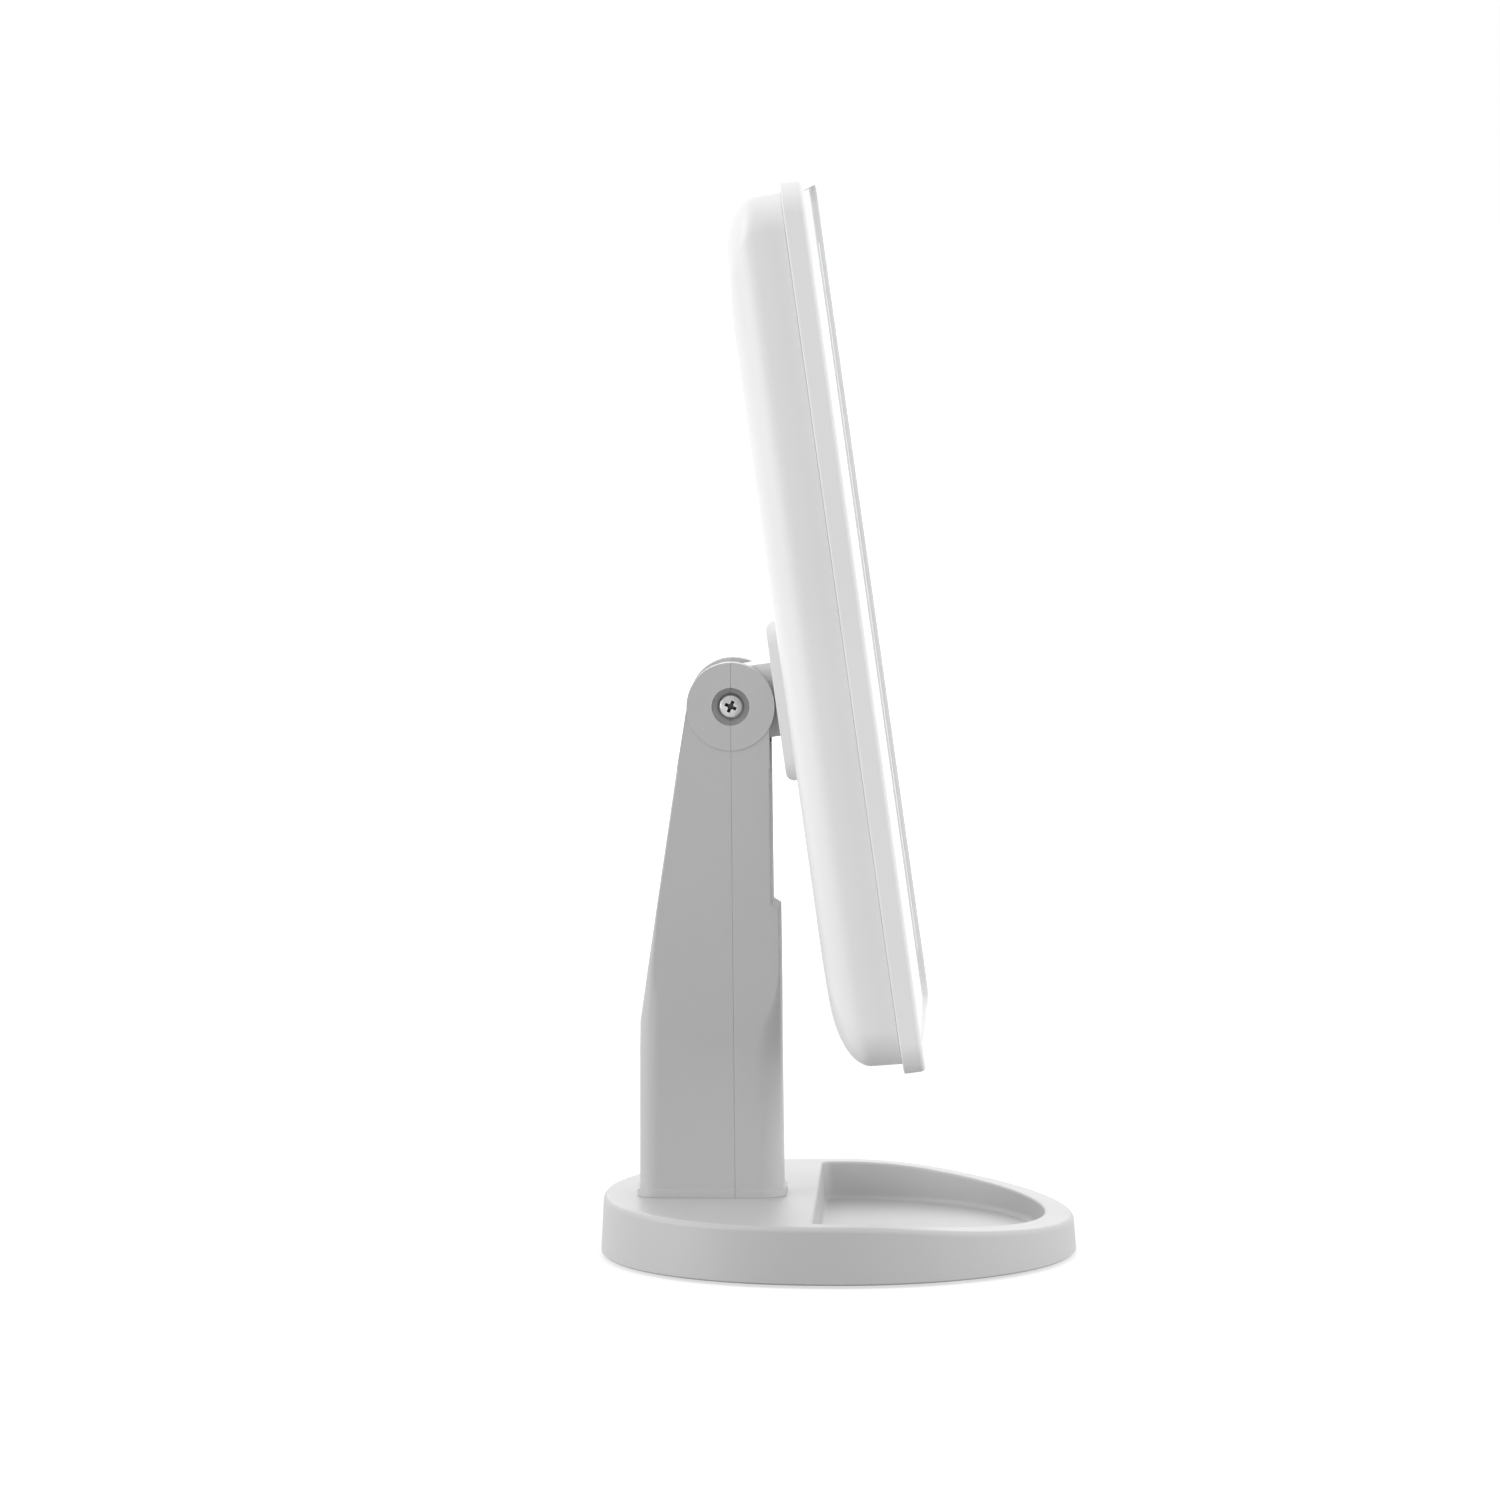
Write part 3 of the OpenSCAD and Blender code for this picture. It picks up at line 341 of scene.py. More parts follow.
def bar(bm, start, end, radius):
    """A round bar between two points."""
    start, end = Vector(start), Vector(end)
    turn = (end - start).to_track_quat("Z", "X").to_matrix().to_4x4()
    bmesh.ops.create_cone(
        bm, cap_ends=True, segments=48, radius1=radius, radius2=radius, depth=(end - start).length,
        matrix=Matrix.Translation((start + end) / 2) @ turn,
    )


def block(bm, low, high):
    """A square-edged block between two corners."""
    low, high = Vector(low), Vector(high)
    size = Matrix.Diagonal((*(high - low), 1))
    bmesh.ops.create_cube(bm, size=1, matrix=Matrix.Translation((low + high) / 2) @ size)


def moulded(name, colour, roughness, grain):
    """Satin ABS from a fine spark-eroded mould: a close grain, and a slow drift in tone and gloss."""
    paint = Paint(name, colour, roughness, Specular_IOR_Level=0.45)
    drift = paint.noise(14, 3)
    duller = [c * 0.982 for c in colour]
    lighter = [c * 1.012 for c in colour]
    paint.feed("Base Color", paint.blend(drift.rise(0.3, 0.7), duller, lighter))
    flow = paint.noise(55, 4)
    paint.feed("Roughness", roughness + (flow - 0.5) * 0.12)
    fine = paint.noise(2400, 2, roughness=0.7)
    wave = paint.noise(38, 1)
    paint.relief(fine * grain + wave * 0.6, 0.00004)
    return paint.material


base_low, base_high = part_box("base_shell")
half_len = base_high.x / MM
half_wid = base_high.y / MM
deck_h = base_high.z / MM
rim_front_h = 10
rim_fall_x = 12
rim_blend = 12
rear_square = 2.2
rim_w = 8.3
tray_h = 5.4
tray_step = 5.5
tray_corner_r = 3
tray_edge_r = 0.8
tray_floor_r = 1.5
tray_draft = 0.5
base_wall = 2.4
base_draft = 0.6
base_edge_r = 1.5
base_low_r = 0.4
base_gap = base_low.z / MM
cover_gap = 0.1
cover_seat_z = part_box("base_cover")[1].z / MM + cover_gap
rim_slope = (deck_h - rim_front_h) / (half_len - rim_fall_x)
oval_count = 240
corner_count = 11


def rim_height(x):
    """Level behind, then a soft bend, then a straight fall to the front."""
    past = x - rim_fall_x
    if past < -rim_blend:
        return deck_h
    if past < rim_blend:
        return deck_h - rim_slope * (past + rim_blend) ** 2 / (4 * rim_blend)
    return deck_h - rim_slope * past


def wall_ring(inset, height=None, drop=0.0):
    """Places along the base's outline, at one height or at a drop below the rim."""

    def place(i):
        x, y = oval_point(math.tau * i / oval_count, inset, half_len, half_wid, rear_square)
        return x, y, rim_height(x) - drop if height is None else height

    return place


def tray_ring(inset, height=None, drop=0.0):
    """Places along the tray's outline: the oval's front, a round corner and the straight step."""
    sunk = inset - rim_w
    r = tray_corner_r - sunk
    a, b = half_len - inset, half_wid - inset
    corner_x = sunk + r - tray_step
    corner_y = (b - r) * math.sqrt(1 - (corner_x / (a - r)) ** 2)
    meet = math.atan2(corner_y / (b - r) ** 2, corner_x / (a - r) ** 2)
    sweep_angle = math.acos((corner_x + r * math.cos(meet)) / a)
    front = round(oval_count * math.acos(-tray_step / half_len) / math.tau)
    straight = oval_count // 2 - front - corner_count

    def place(i):
        side = 1 if i <= oval_count // 2 else -1
        k = i if side > 0 else oval_count - i
        if k <= front:
            angle = sweep_angle * k / front
            x, y = a * math.cos(angle), b * math.sin(angle)
        elif k <= front + corner_count:
            angle = meet + (math.pi - meet) * (k - front) / corner_count
            x, y = corner_x + r * math.cos(angle), corner_y + r * math.sin(angle)
        else:
            x, y = corner_x - r, corner_y * (1 - (k - front - corner_count) / straight)
        return x, side * y, rim_height(x) - drop if height is None else height

    return place


base = bmesh.new()
ring = start_ring(base, oval_count, wall_ring(base_wall, cover_seat_z))
base.faces.new(ring)
ring = next_ring(base, ring, wall_ring(base_wall, base_gap))
ring = next_ring(base, ring, wall_ring(base_low_r, base_gap))
ring = next_ring(base, ring, wall_ring(0, base_gap + base_low_r))
fillet_steps = 8
for step in range(fillet_steps + 1):
    turn = math.pi / 2 * step / fillet_steps
    inset = base_draft + base_edge_r * (1 - math.cos(turn))
    ring = next_ring(base, ring, wall_ring(inset, drop=base_edge_r * (1 - math.sin(turn))))
for step in range(fillet_steps + 1):
    turn = math.pi / 2 * step / fillet_steps
    inset = rim_w - tray_edge_r * (1 - math.sin(turn))
    ring = next_ring(base, ring, tray_ring(inset, drop=tray_edge_r * (1 - math.cos(turn))))
for step in range(fillet_steps + 1):
    turn = math.pi / 2 * step / fillet_steps
    inset = rim_w + tray_draft + tray_floor_r * (1 - math.cos(turn))
    ring = next_ring(base, ring, tray_ring(inset, tray_h + tray_floor_r * (1 - math.sin(turn))))
base.faces.new(ring)

hollow = bmesh.new()
cover_ledge = 0.4
overshoot = 1
ring = start_ring(hollow, oval_count, wall_ring(base_wall + cover_ledge, cover_seat_z - overshoot))
hollow.faces.new(ring)
ring = next_ring(hollow, ring, wall_ring(base_wall + cover_ledge, deck_h - base_wall))
hollow.faces.new(ring)
cut_plane = bmesh.ops.bisect_plane(
    hollow, geom=hollow.verts[:] + hollow.edges[:] + hollow.faces[:],
    plane_co=(-tray_step - base_wall, 0, 0), plane_no=(1, 0, 0), clear_outer=True,
)["geom_cut"]
cut_edges = [item for item in cut_plane if isinstance(item, bmesh.types.BMEdge)]
bmesh.ops.edgeloop_fill(hollow, edges=cut_edges)
base = carved(base, hollow)

stand_grey = moulded("stand_plastic", (0.53, 0.53, 0.535), 0.42, 0.25)
piece("base", base, STAND, "stand", "base_shell", stand_grey)

# ---------- column ----------
# Two half shells in the same ABS, screwed together from behind. They meet in a parting line that
# runs down the sides through the hinge, and clamp the hinge's knuckle between two round ears.


def merged(node):
    """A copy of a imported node's mesh in metres, with its loose triangles joined up."""
    apart = 2e-6
    nearly_flat = math.radians(0.4)
    bm = bmesh.new()
    bm.from_mesh(nodes[node].data)
    bmesh.ops.remove_doubles(bm, verts=bm.verts, dist=apart)
    bmesh.ops.dissolve_degenerate(bm, edges=bm.edges, dist=apart)
    bmesh.ops.dissolve_limit(bm, angle_limit=nearly_flat, verts=bm.verts, edges=bm.edges)
    return bm


def eased(bm, radius):
    """Breaks every sharp edge, but not where a face beside it is too small for the radius."""
    sharp = math.radians(32)
    edges = [
        edge for edge in bm.edges
        if len(edge.link_faces) == 2 and edge.calc_face_angle(0) > sharp
        and min(face.calc_area() for face in edge.link_faces) > (2 * radius * MM) ** 2
    ]
    bmesh.ops.bevel(
        bm, geom=edges, offset=radius * MM, offset_type="OFFSET", segments=2, profile=0.5,
        affect="EDGES", clamp_overlap=False, material=-1,
    )
    return bm


def finished(node, body, material, radius):
    """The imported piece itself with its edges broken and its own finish."""
    bm = eased(merged(node), radius)
    return piece(node + "_finished", bm, Matrix.Identity(4), body, node, material)


for half in ("column_front_shell", "column_rear_shell"):
    finished(half, "stand", stand_grey, 0.14)

# ---------- column screws, foot screws ----------
# Zinc-plated self-tapping screws with small pan heads. Two join the halves from behind, and four
# come up through the deck into the column's foot.


def plated(name, colour, roughness):
    """Bright metal: fine turning marks, a cloudy tone and small dull spots."""
    paint = Paint(name, colour, roughness, Metallic=1.0)
    cloud = paint.noise(260, 4)
    paint.feed("Base Color", paint.blend(cloud.rise(0.35, 0.7), [c * 0.86 for c in colour], colour))
    marks = paint.noise(3200, 3, roughness=0.75)
    paint.feed("Roughness", roughness + (marks - 0.5) * 0.22 + cloud.rise(0.55, 0.8) * 0.08)
    paint.relief(marks, 0.000006)
    return paint.material


steel = plated("steel", (0.66, 0.66, 0.65), 0.28)
for screws in ("column_screws", "foot_screws"):
    finished(screws, "stand", steel, 0.06)

# ---------- bottom cover, feet, ballast ----------
# The cover is moulded in the stand's ABS and screwed up into the base from below. It carries four
# dark rubber feet in shallow seats, and a steel plate that is bonded to its inner side.

finished("base_cover", "stand", stand_grey, 0.2)
finished("ballast_plate", "stand", steel, 0.3)
finished("base_cover_screws", "stand", steel, 0.06)


def rubbery(name, colour):
    """Matt rubber with a powdery tone and a fine skin."""
    paint = Paint(name, colour, 0.82, Specular_IOR_Level=0.3)
    dust = paint.noise(300, 5)
    paint.feed("Base Color", paint.blend(dust.rise(0.4, 0.75), colour, [c * 1.5 + 0.01 for c in colour]))
    paint.feed("Roughness", 0.76 + dust * 0.14)
    paint.relief(paint.noise(1900, 3), 0.00003)
    return paint.material


rubber = rubbery("rubber", (0.030, 0.030, 0.032))
packed_feet = merged("rubber_feet")
foot_r = 6
foot_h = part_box("rubber_feet")[1].z / MM
foot_edge_r = 0.55
tolerance = 0.01
feet = bmesh.new()
islands = set(packed_feet.verts)
while islands:
    found = [islands.pop()]
    for vert in found:
        reached = {edge.other_vert(vert) for edge in vert.link_edges} & islands
        islands -= reached
        found.extend(reached)
    centre = sum((vert.co for vert in found), Vector()) / len(found) / MM
    pad = bmesh.ops.create_cone(
        feet, cap_ends=True, segments=64, radius1=foot_r, radius2=foot_r, depth=foot_h,
        matrix=Matrix.Translation((centre.x, centre.y, foot_h / 2)),
    )["verts"]
    low_edges = {
        edge for vert in pad for edge in vert.link_edges
        if max(end.co.z for end in edge.verts) < tolerance
    }
    bmesh.ops.bevel(
        feet, geom=list(low_edges), offset=foot_edge_r, offset_type="OFFSET", segments=4, profile=0.5,
        affect="EDGES", material=-1,
    )
packed_feet.free()
piece("feet", feet, STAND, "stand", "rubber_feet", rubber)

# ---------- hinge ----------
# An M4 pan head screw with a cross recess runs through both ears and the head's knuckle, into a
# nut over a spring washer. Fibre washers between the ears and the knuckle give the friction.

pivot = Vector(joints["head_tilt"]["pos_m"]) / MM
screw_low, screw_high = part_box("hinge_screw")
head_r = (screw_high.x - screw_low.x) / MM / 2
head_top_y = screw_low.y / MM
tip_y = screw_high.y / MM
screw_length = tip_y - head_top_y
head_h = 2.2
shank_r = 2.0
head_round = 1.35
head_round_steps = 6
head_rise = 0.16
head_lip = 0.12
tip_bevel = 0.3
flat_r = head_r - head_round
screw = bmesh.new()
profile = [(0, 0), (flat_r, 0)]
for step in range(1, head_round_steps + 1):
    turn = math.pi / 2 * step / head_round_steps
    profile.append((flat_r + head_round * math.sin(turn), head_rise + head_round * (1 - math.cos(turn))))
profile += [(head_r, head_h - head_lip), (head_r - head_lip, head_h), (shank_r, head_h)]
profile += [(shank_r, screw_length - tip_bevel), (shank_r - tip_bevel, screw_length), (0, screw_length)]
chain = [screw.verts.new((radius, depth, 0)) for radius, depth in profile]
edges = [screw.edges.new(pair) for pair in zip(chain, chain[1:])]
bmesh.ops.spin(
    screw, geom=chain + edges, cent=(0, 0, 0), axis=(0, 1, 0), angle=math.tau, steps=72, use_merge=True,
)
weld = 0.0005
bmesh.ops.remove_doubles(screw, verts=screw.verts, dist=weld)
recess_depth = 1.5
recess_lip = 0.2
recess_slack = 0.1
wing_reach = 2.05
wing_half = 0.5
wing_taper_long = 0.45
wing_taper_wide = 0.7
centre_r = 1.15
centre_tip_r = 0.4
recess_turn = 24
cross = bmesh.new()
bmesh.ops.create_cone(
    cross, cap_ends=True, segments=32, radius1=centre_r, radius2=centre_tip_r, depth=2 * recess_depth,
    matrix=Matrix.Rotation(-math.pi / 2, 4, "X"),
)
for quarter in (0, 90):
    wing = bmesh.new()
    block(wing, (-wing_reach, -overshoot, -wing_half), (wing_reach, recess_depth, wing_half))
    for vert in wing.verts:
        if vert.co.y > 0:
            vert.co.x *= wing_taper_long
            vert.co.z *= wing_taper_wide
    wing.transform(Matrix.Rotation(math.radians(quarter), 4, "Y"))
    cross = carved(cross, wing, "UNION")
cross.transform(Matrix.Rotation(math.radians(recess_turn), 4, "Y"))
screw = carved(screw, cross)
screw_place = Matrix.Scale(MM, 4) @ Matrix.Translation((pivot.x, head_top_y, pivot.z))
# Faces deep in the cross recess get a second, near-black finish: painted shade for the hollow of the
# recess.
for face in screw.faces:
    spot = face.calc_center_median()
    deep = recess_lip < spot.y < recess_depth + recess_slack
    if math.hypot(spot.x, spot.z) < wing_reach and deep:
        face.material_index = 1
bright = plated("bright_steel", (0.56, 0.56, 0.56), 0.2)
hinge_screw = piece("hinge_screw_turned", screw, screw_place, "stand", "hinge_screw", bright)
# The second finish is plated steel darkened to 0.09, as painted shade inside the cross recess.
hinge_screw.data.materials.append(plated("recess_painted_shade", (0.09, 0.09, 0.09), 0.5))

finished("hinge_nut", "stand", steel, 0.12)
finished("spring_washer", "stand", steel, 0.05)


def fibrous(name, colour):
    """Pressed fibre: short pale strands in a dark binder."""
    paint = Paint(name, colour, 0.7)
    strands = paint.noise(1500, 6, roughness=0.8)
    paint.feed("Base Color", paint.blend(strands.rise(0.5, 0.72), colour, [c * 2.2 for c in colour]))
    paint.feed("Roughness", 0.62 + strands * 0.2)
    paint.relief(strands, 0.00003)
    return paint.material


fibre = fibrous("friction_pad", (0.052, 0.050, 0.048))
finished("friction_washers", "stand", fibre, 0.08)

# ---------- bracket ----------
# The head's half of the hinge: a round knuckle on a rounded pad, moulded in the head's whiter ABS,
# with a brass bush. Four screws from inside the shell hold the pad.

head_white = moulded("head_plastic", (0.85, 0.85, 0.855), 0.36, 0.16)
finished("hinge_bracket", "head", head_white, 0.25)
brass = plated("brass", (0.72, 0.52, 0.22), 0.3)
finished("knuckle_bush", "head", brass, 0.06)
finished("bracket_screws", "head", steel, 0.06)

# ---------- rear shell ----------
# A deep moulding in the head's ABS. Its back is flat in the middle and rolls forward at the ends
# and sides; a straight wall with a little draft runs from there to the seam with the bezel.

up = Vector(joints["switch_slide"]["axis"]).normalized()
normal = Vector((up.z, 0, -up.x))
HEAD = Matrix.Translation(pivot * MM) @ Matrix((
    (normal.x, 0, up.x, 0), (normal.y, 1, up.y, 0), (normal.z, 0, up.z, 0), (0, 0, 0, 1),
)) @ Matrix.Scale(MM, 4)
head_frame = HEAD.inverted()


def head_box(node):
    """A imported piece's lowest and highest corner in the head's frame: depth, width, height."""
    spots = [head_frame @ vert.co for vert in nodes[node].data.vertices]
    return tuple(Vector(pick(spot[axis] for spot in spots) for axis in range(3)) for pick in (min, max))


bezel_low, bezel_high = head_box("front_bezel")
shell_low, shell_high = head_box("rear_shell")
half_head = bezel_high.y
head_low, head_high = bezel_low.z, bezel_high.z
back_n = shell_low.x
seam_n = shell_high.x
shell_step = half_head - shell_high.y
shell_wall = 2
shell_draft = 0.4
curve_depth = 9.4
curve_reach = {"side": 17, "low": 17, "high": 22}
shell_corner_r = 9.5
shell_corner_grow = 8
corner_steps = 12
outline_count = 4 * (corner_steps + 1)


def outline(n, side, low, high, r):
    """Places round a round-cornered outline at depth n, each side drawn in by its own inset."""

    def place(i):
        corner, step = divmod(i, corner_steps + 1)
        turn = math.pi / 2 * (corner + step / corner_steps)
        y = (half_head - side - r) * (1 if corner in (0, 3) else -1)
        u = head_high - high - r if corner in (0, 1) else head_low + low + r
        return n, y + r * math.cos(turn), u + r * math.sin(turn)

    return place


def shell_outline(turn, off):
    """The shell's skin at an angle round its rolled edge; off is how far inside the outer skin."""
    k = 1 - math.cos(turn)
    drawn = {end: shell_step + off + shell_draft + (reach - shell_draft - off) * k
             for end, reach in curve_reach.items()}
    r = shell_corner_r - off / 2 + shell_corner_grow * k
    n = back_n + off + (curve_depth - off) * (1 - math.sin(turn))
    return outline(n, drawn["side"], drawn["low"], drawn["high"], r)


shell = bmesh.new()
roll_steps = 18
seam_edge = 0.3
turns = [math.pi / 2 * (1 - step / roll_steps) for step in range(roll_steps + 1)]
ring = start_ring(shell, outline_count, shell_outline(turns[0], 0))
shell.faces.new(ring)
for turn in turns[1:]:
    ring = next_ring(shell, ring, shell_outline(turn, 0))
rim_in = shell_step + shell_wall
ring = next_ring(shell, ring, outline(seam_n - seam_edge, *[shell_step] * 3, shell_corner_r))
ring = next_ring(shell, ring, outline(seam_n, *[shell_step + seam_edge] * 3, shell_corner_r - seam_edge))
ring = next_ring(shell, ring, outline(seam_n, *[rim_in] * 3, shell_corner_r - shell_wall / 2))
for turn in reversed(turns):
    ring = next_ring(shell, ring, shell_outline(turn, shell_wall))
shell.faces.new(ring)

door_y = head_box("battery_door")[1].y
contact_low, contact_high = head_box("battery_contacts")
door_gap = 0.3
door_t = 1.6
bay_wall = 1.5
bay_rim_gap = 0.2
ledge_n = back_n + door_t
bay_low, bay_high = contact_low.z, contact_high.z
bay_y = door_y - bay_wall + door_gap
walls = bmesh.new()
block(walls, (ledge_n, -bay_y - bay_wall, bay_low - bay_wall),
      (seam_n - bay_rim_gap, bay_y + bay_wall, bay_high + bay_wall))
shell = carved(shell, walls, "UNION")

boss_r = 4.6
boss_t = 2.6
post_r = 2.6
boss_root = 1
fixing_low, fixing_high = head_box("shell_screws")
fixing_r = 2.8
fixing_middle_u = 19
shell_screw_y = fixing_high.y - fixing_r
shell_screw_u = [fixing_low.z + fixing_r, fixing_middle_u, fixing_high.z - fixing_r]
board_low, board_high = head_box("control_board")
board_hole_in = 4
bosses = bmesh.new()
for y in (-shell_screw_y, shell_screw_y):
    for u in shell_screw_u:
        bar(bosses, (back_n + boss_root, y, u), (back_n + shell_wall + boss_t, y, u), boss_r)
for y in (board_hole_in - board_high.y, board_high.y - board_hole_in):
    for u in (board_low.z + board_hole_in, board_high.z - board_hole_in):
        bar(bosses, (back_n + boss_root, y, u), (board_low.x, y, u), post_r)
shell = carved(shell, bosses, "UNION")

knob_low, knob_high = head_box("switch_knob")
port_low, port_high = head_box("usb_socket")
knob_y = (knob_low.y + knob_high.y) / 2
knob_room = 0.4
knob_travel = joints["switch_slide"]["range_m"][1] / MM
port_y = (port_low.y + port_high.y) / 2
port_u = (port_low.z + port_high.z) / 2
tab_y = 14.8
tab_half = 3.3
tab_room = 2.6
openings = bmesh.new()
block(openings, (back_n - overshoot, -door_y - door_gap, bay_low - bay_wall),
      (ledge_n, door_y + door_gap, bay_high + bay_wall))
shell = carved(shell, openings)
openings = bmesh.new()
block(openings, (back_n - overshoot, -bay_y, bay_low), (seam_n + overshoot, bay_y, bay_high))
shell = carved(shell, openings)
openings = bmesh.new()
for side in (-1, 1):
    block(openings, (ledge_n - overshoot / 2, side * tab_y - tab_half, bay_low - bay_wall - overshoot),
          (back_n + shell_wall + tab_room, side * tab_y + tab_half, bay_low + overshoot))
shell = carved(shell, openings)

screw_sink_depth = 2.3
screw_sink_r = 3.0
knob_side_room = 0.3
knob_top = knob_high.z + knob_travel + knob_room
openings = bmesh.new()
for y in (-shell_screw_y, shell_screw_y):
    for u in shell_screw_u:
        bar(openings, (back_n - overshoot, y, u), (back_n + screw_sink_depth, y, u), screw_sink_r)
block(openings, (back_n - overshoot, knob_low.y - knob_side_room, knob_low.z - knob_room),
      (back_n + shell_wall + overshoot, knob_high.y + knob_side_room, knob_top))
shell = carved(shell, openings)


def rounded_hole(floor_n, centre_y, straight_y, straight_u, r):
    """A round-cornered tool from behind the back to floor_n; its straight sides are half lengths."""
    count = 48
    quarter = count // 4

    def place_at(n):
        def place(i):
            turn = math.tau * (i + 0.5) / count
            y = centre_y + straight_y * (1 if i < quarter or i >= 3 * quarter else -1)
            u = port_u + straight_u * (1 if i < 2 * quarter else -1)
            return n, y + r * math.cos(turn), u + r * math.sin(turn)

        return place

    tool = bmesh.new()
    ring = start_ring(tool, count, place_at(back_n - overshoot))
    tool.faces.new(ring)
    ring = next_ring(tool, ring, place_at(floor_n))
    tool.faces.new(ring)
    return tool


dish_depth = 0.8
dish = rounded_hole(back_n + dish_depth, knob_y, straight_y=1, straight_u=4, r=4)
shell = carved(shell, dish)
port = rounded_hole(back_n + shell_wall + overshoot, port_y, straight_y=3.1, straight_u=0, r=2)
shell = carved(shell, port)
back_sharp = 1.2
back_edge_r = 0.18
rear_edges = [
    edge for edge in shell.edges
    if len(edge.link_faces) == 2 and edge.calc_face_angle(0) > back_sharp
    and max(vert.co.x for vert in edge.verts) < back_n + tolerance
]
bmesh.ops.bevel(
    shell, geom=rear_edges, offset=back_edge_r, offset_type="OFFSET", segments=2, profile=0.5,
    affect="EDGES", clamp_overlap=False, material=-1,
)
piece("rear_shell_moulded", shell, HEAD, "head", "rear_shell", head_white)

# ---------- front bezel ----------
# The frame that carries the mirror, in the same white ABS: a soft front edge, a thin rim round a
# shallow pocket, and a fine radius at the seam. Its inner side holds the posts and light boxes.

face_n = bezel_high.x
front_r = 1.2
seam_r = 0.5
rim_r = 0.2
bezel_corner_r = 8
pocket_r = 5
glass_low, glass_high = head_box("mirror_glass")
seat_gap = 0.15
rim_side = half_head - glass_high.y - seat_gap
rim_low = glass_low.z - head_low - seat_gap
rim_high = head_high - glass_high.z - seat_gap


def frame_outline(n, inset):
    """The frame's outer outline, drawn in by inset."""
    return outline(n, *[inset] * 3, bezel_corner_r - inset)


def rim_outline(n, out):
    """The pocket's outline, widened by out."""
    return outline(n, rim_side - out, rim_low - out, rim_high - out, pocket_r + out)


bezel = bmesh.new()
seam_steps = 6
front_steps = 8
rim_steps = 3
ring = start_ring(bezel, outline_count, frame_outline(seam_n, seam_r))
bezel.faces.new(ring)
for step in range(1, seam_steps + 1):
    turn = math.pi / 2 * step / seam_steps
    n = seam_n + seam_r * (1 - math.cos(turn))
    ring = next_ring(bezel, ring, frame_outline(n, seam_r * (1 - math.sin(turn))))
for step in range(front_steps + 1):
    turn = math.pi / 2 * step / front_steps
    n = face_n - front_r * (1 - math.sin(turn))
    ring = next_ring(bezel, ring, frame_outline(n, front_r * (1 - math.cos(turn))))
for step in range(rim_steps + 1):
    turn = math.pi / 2 * step / rim_steps
    n = face_n - rim_r * (1 - math.cos(turn))
    ring = next_ring(bezel, ring, rim_outline(n, rim_r * (1 - math.sin(turn))))
ring = next_ring(bezel, ring, rim_outline(glass_low.x, 0))
bezel.faces.new(ring)
inner_side = merged("front_bezel")
inner_side.transform(head_frame)
slab_depth = 30
slab_room = 9
seam_overlap = 0.7
slab = bmesh.new()
block(slab, (seam_n - slab_depth, -half_head - slab_room, head_low - slab_room),
      (seam_n + seam_overlap, half_head + slab_room, head_high + slab_room))
well = carved(inner_side, slab, "INTERSECT")
window_low, window_high = head_box("diffusers")
windows = bmesh.new()
strip_w = 7.7
for side in (-1, 1):
    edge_y = window_high.y + seat_gap
    near, far = sorted((side * edge_y, side * (edge_y - strip_w - 2 * seat_gap)))
    block(windows, (seam_n - overshoot, near, window_low.z - seat_gap),
          (face_n, far, window_high.z + seat_gap))
bezel = carved(bezel, windows)
bezel = carved(bezel, well, "UNION")
piece("front_bezel_moulded", bezel, HEAD, "head", "front_bezel", head_white)

# ---------- mirror glass ----------
# A 3 mm sheet with ground edges, silvered on its back. Two strips and a small ring are left clear
# in the silvering and frosted, for the lights and for the touch switch.

glass = bmesh.new()
ground = 0.35
glass_side = half_head - glass_high.y
glass_ends = (glass_low.z - head_low, head_high - glass_high.z)
glass_r = pocket_r - seat_gap


def glass_outline(n, inset):
    """The sheet's outline, drawn in by inset."""
    return outline(n, glass_side + inset, glass_ends[0] + inset, glass_ends[1] + inset, glass_r - inset)


ring = start_ring(glass, outline_count, glass_outline(glass_low.x, ground))
glass.faces.new(ring)
ring = next_ring(glass, ring, glass_outline(glass_low.x + ground, 0))
ring = next_ring(glass, ring, glass_outline(glass_high.x - ground, 0))
ring = next_ring(glass, ring, glass_outline(glass_high.x, ground))
glass.faces.new(ring)
flat = [face for face in glass.faces if len(face.verts) == outline_count]
for face in glass.faces:
    face.material_index = 0 if face in flat else 1


def head_axes(paint):
    """The depth, width and height of a point in the head's own frame, in metres."""
    return paint.axes(paint.node("Mapping", {"vector_type": "TEXTURE"}, {
        "Vector": paint.place(), "Location": HEAD.translation,
        "Rotation": (0, -math.atan2(normal.z, normal.x), 0),
    }))


silvering = (0.90, 0.92, 0.92)
mirror_rough = 0.015
frost_rough = 0.4
touch_ring_in = 3.4
touch_ring_out = 4.2
silver = Paint("mirror", silvering, mirror_rough, Metallic=1.0)
_, wide, tall = head_axes(silver)
strip_y = (window_high.y - strip_w / 2) * MM
strip_u = (window_low.z + window_high.z) / 2 * MM
strip_half_u = (window_high.z - window_low.z) / 2 * MM
inside = ((wide.size() - strip_y).size() < strip_w / 2 * MM) * ((tall - strip_u).size() < strip_half_u)
touch_low, touch_high = head_box("touch_spring")
touch_u = (touch_low.z + touch_high.z) / 2 * MM
reach = (wide * wide + (tall - touch_u) * (tall - touch_u)).root()
ring_mark = (reach < touch_ring_out * MM) * (reach > touch_ring_in * MM)
frost = inside.sum("MAXIMUM", inside, ring_mark)
silver.feed("Base Color", silver.blend(frost, silvering, (0.86, 0.87, 0.86)))
silver.feed("Metallic", 1 - frost)
silver.feed("Roughness", frost * frost_rough + mirror_rough)
edge_glass = Paint("cut_edge", (0.72, 0.76, 0.75), 0.3)
edge_glass.feed("Roughness", 0.24 + edge_glass.noise(1800, 3) * 0.2)
mirror = piece("mirror_sheet", glass, HEAD, "head", "mirror_glass", silver.material)
mirror.data.materials.append(edge_glass.material)

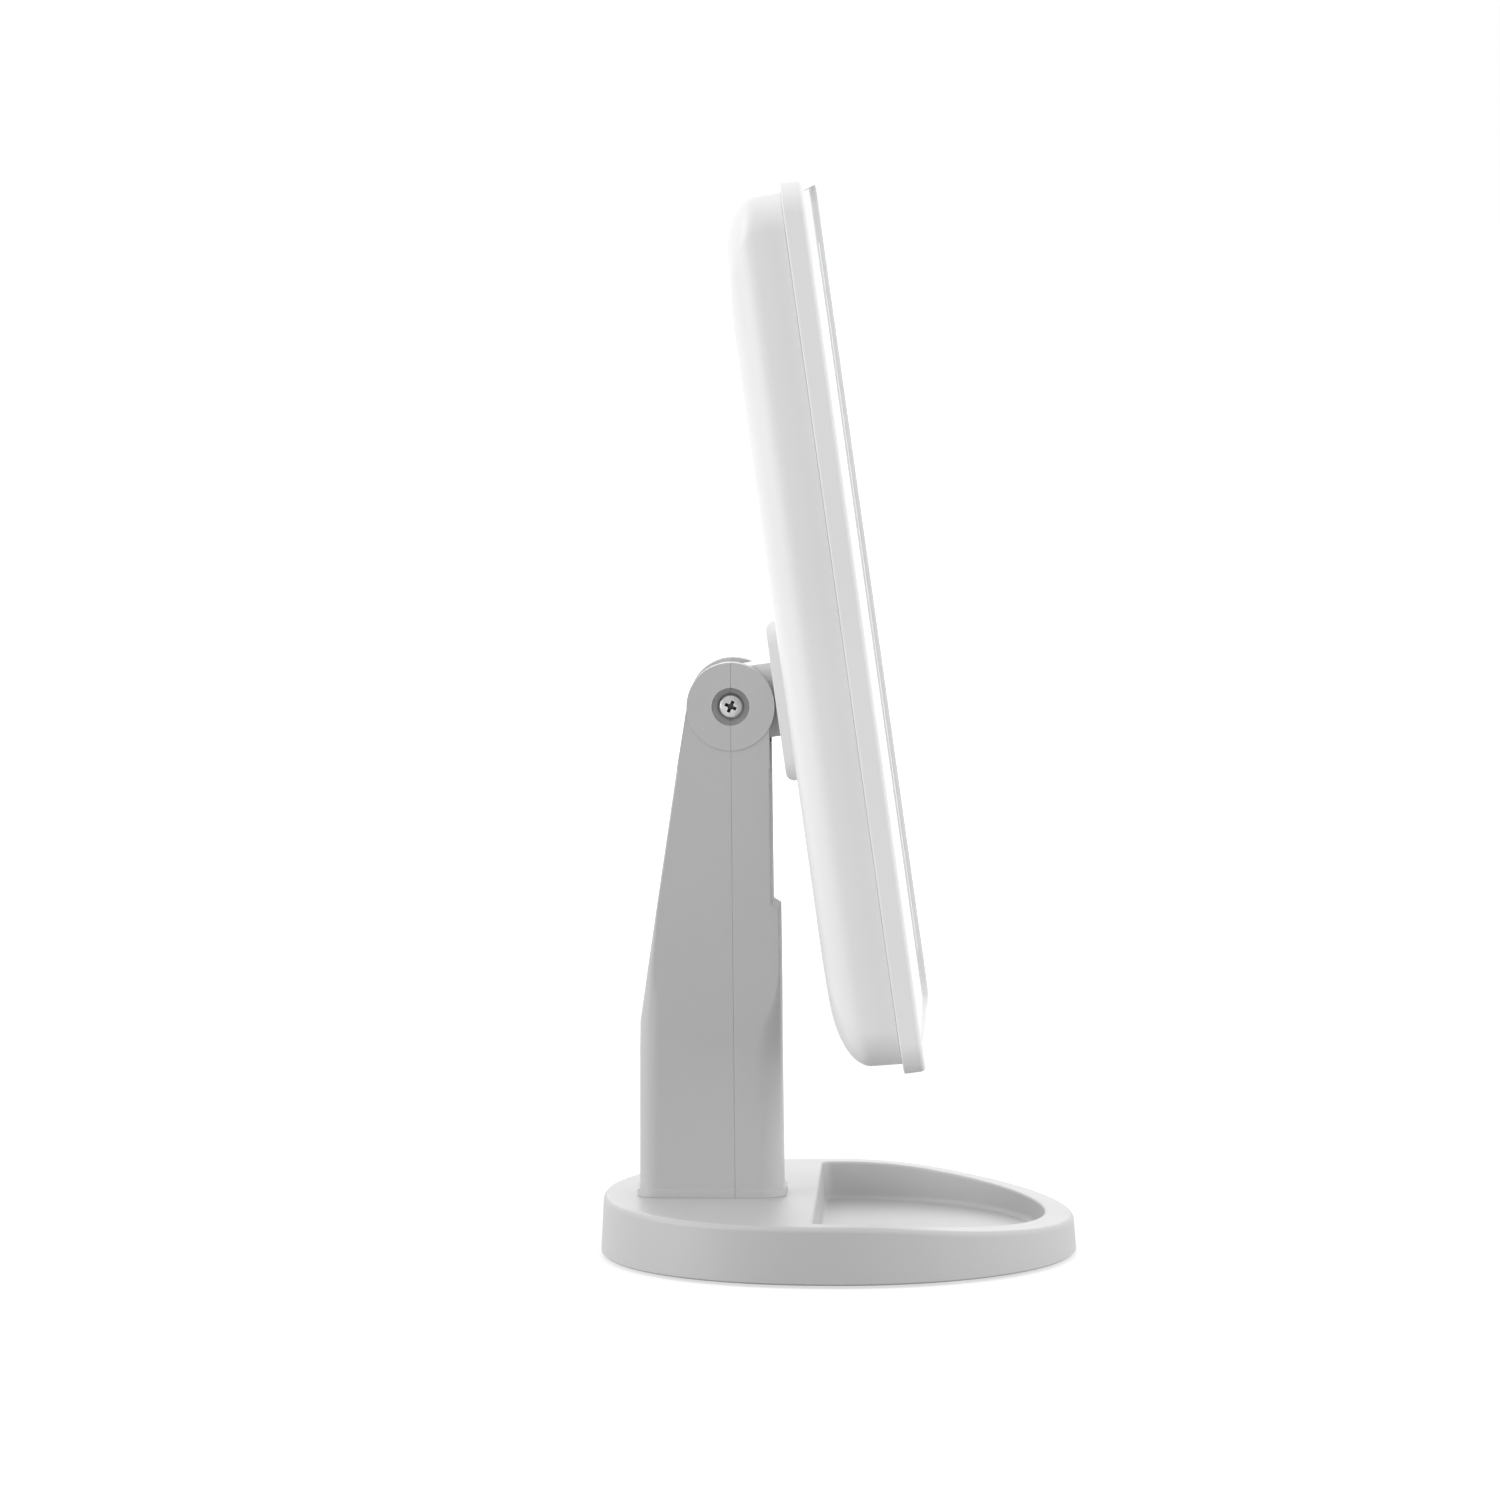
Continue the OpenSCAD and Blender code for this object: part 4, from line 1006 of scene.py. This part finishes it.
# ---------- lights ----------
# Two opal strips lie behind the clear windows. Each has a white board with a row of small
# surface-mounted lamps at the bottom of its light box.


def painted(node, material):
    """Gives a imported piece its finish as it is."""
    for slot in nodes[node].material_slots:
        slot.material = material


opal = Paint("opal", (0.90, 0.90, 0.88), 0.5)
opal.feed("Roughness", 0.46 + opal.noise(900, 2) * 0.1)
opal.relief(opal.noise(1500, 2), 0.00001)
finished("diffusers", "head", opal.material, 0.15)


def circuit_board(name, mask_colour, track_colour):
    """Solder mask over fine tracks."""
    paint = Paint(name, mask_colour, 0.35)
    tracks = paint.node("TexVoronoi", {"feature": "DISTANCE_TO_EDGE"}, {
        "Vector": paint.place(), "Scale": 330,
    })
    paint.feed("Base Color", paint.blend(tracks.rise(0.10, 0.14), track_colour, mask_colour))
    paint.feed("Roughness", 0.3 + paint.noise(700, 3) * 0.15)
    paint.relief(tracks.rise(0.08, 0.16), 0.00003)
    return paint.material


painted("led_boards", circuit_board("board_white", (0.80, 0.80, 0.77), (0.70, 0.70, 0.67)))

lamp_yellow = Paint("led", (0.85, 0.72, 0.26), 0.3)
lamp_yellow.feed("Roughness", 0.25 + lamp_yellow.noise(2500, 2) * 0.15)
painted("leds", lamp_yellow.material)

# ---------- control board, switch and socket ----------
# A green board on four posts behind the lower end carries the slide switch, the charging socket
# and the spring of the touch switch. Red leads run to the batteries and to both rows of lights.

painted("control_board", circuit_board("board", (0.012, 0.085, 0.040), (0.030, 0.16, 0.075)))
finished("board_screws", "head", steel, 0.06)
painted("touch_spring", brass)


def glossy_sheath(name, colour):
    """A soft extruded sheath with a faint lengthwise drag."""
    paint = Paint(name, colour, 0.4)
    drag = paint.noise(420, 3)
    paint.feed("Base Color", paint.blend(drag.rise(0.3, 0.8), colour, [c * 1.25 for c in colour]))
    paint.feed("Roughness", 0.34 + drag * 0.14)
    return paint.material


painted("leads", glossy_sheath("lead", (0.36, 0.022, 0.018)))
black = moulded("black_plastic", (0.022, 0.022, 0.024), 0.45, 0.3)
painted("switch_body", black)
finished("usb_socket", "head", steel, 0.05)
finished("shell_screws", "head", steel, 0.06)

# ---------- batteries ----------
# Four plain AA cells lie side by side between nickel contacts, under a flush door that tilts out
# about two tabs at its low edge.

cell_silver = (0.50, 0.52, 0.54)
cell_blue = (0.03, 0.05, 0.09)
band_inset = 14
sleeve = Paint("cell", cell_silver, 0.3, Metallic=0.9)
_, _, height = head_axes(sleeve)
band = (height > (bay_low + band_inset) * MM) * (height < (bay_high - band_inset) * MM)
sleeve.feed("Base Color", sleeve.blend(band, cell_silver, cell_blue))
sleeve.feed("Metallic", 0.9 - band * 0.7)
sleeve.feed("Roughness", 0.24 + sleeve.noise(600, 3) * 0.14)
finished("battery_cells", "head", sleeve.material, 0.3)
finished("battery_contacts", "head", steel, 0.05)
finished("battery_door", "battery_door", head_white, 0.16)
finished("switch_knob", "switch_knob", black, 0.12)

bpy.context.view_layer.update()
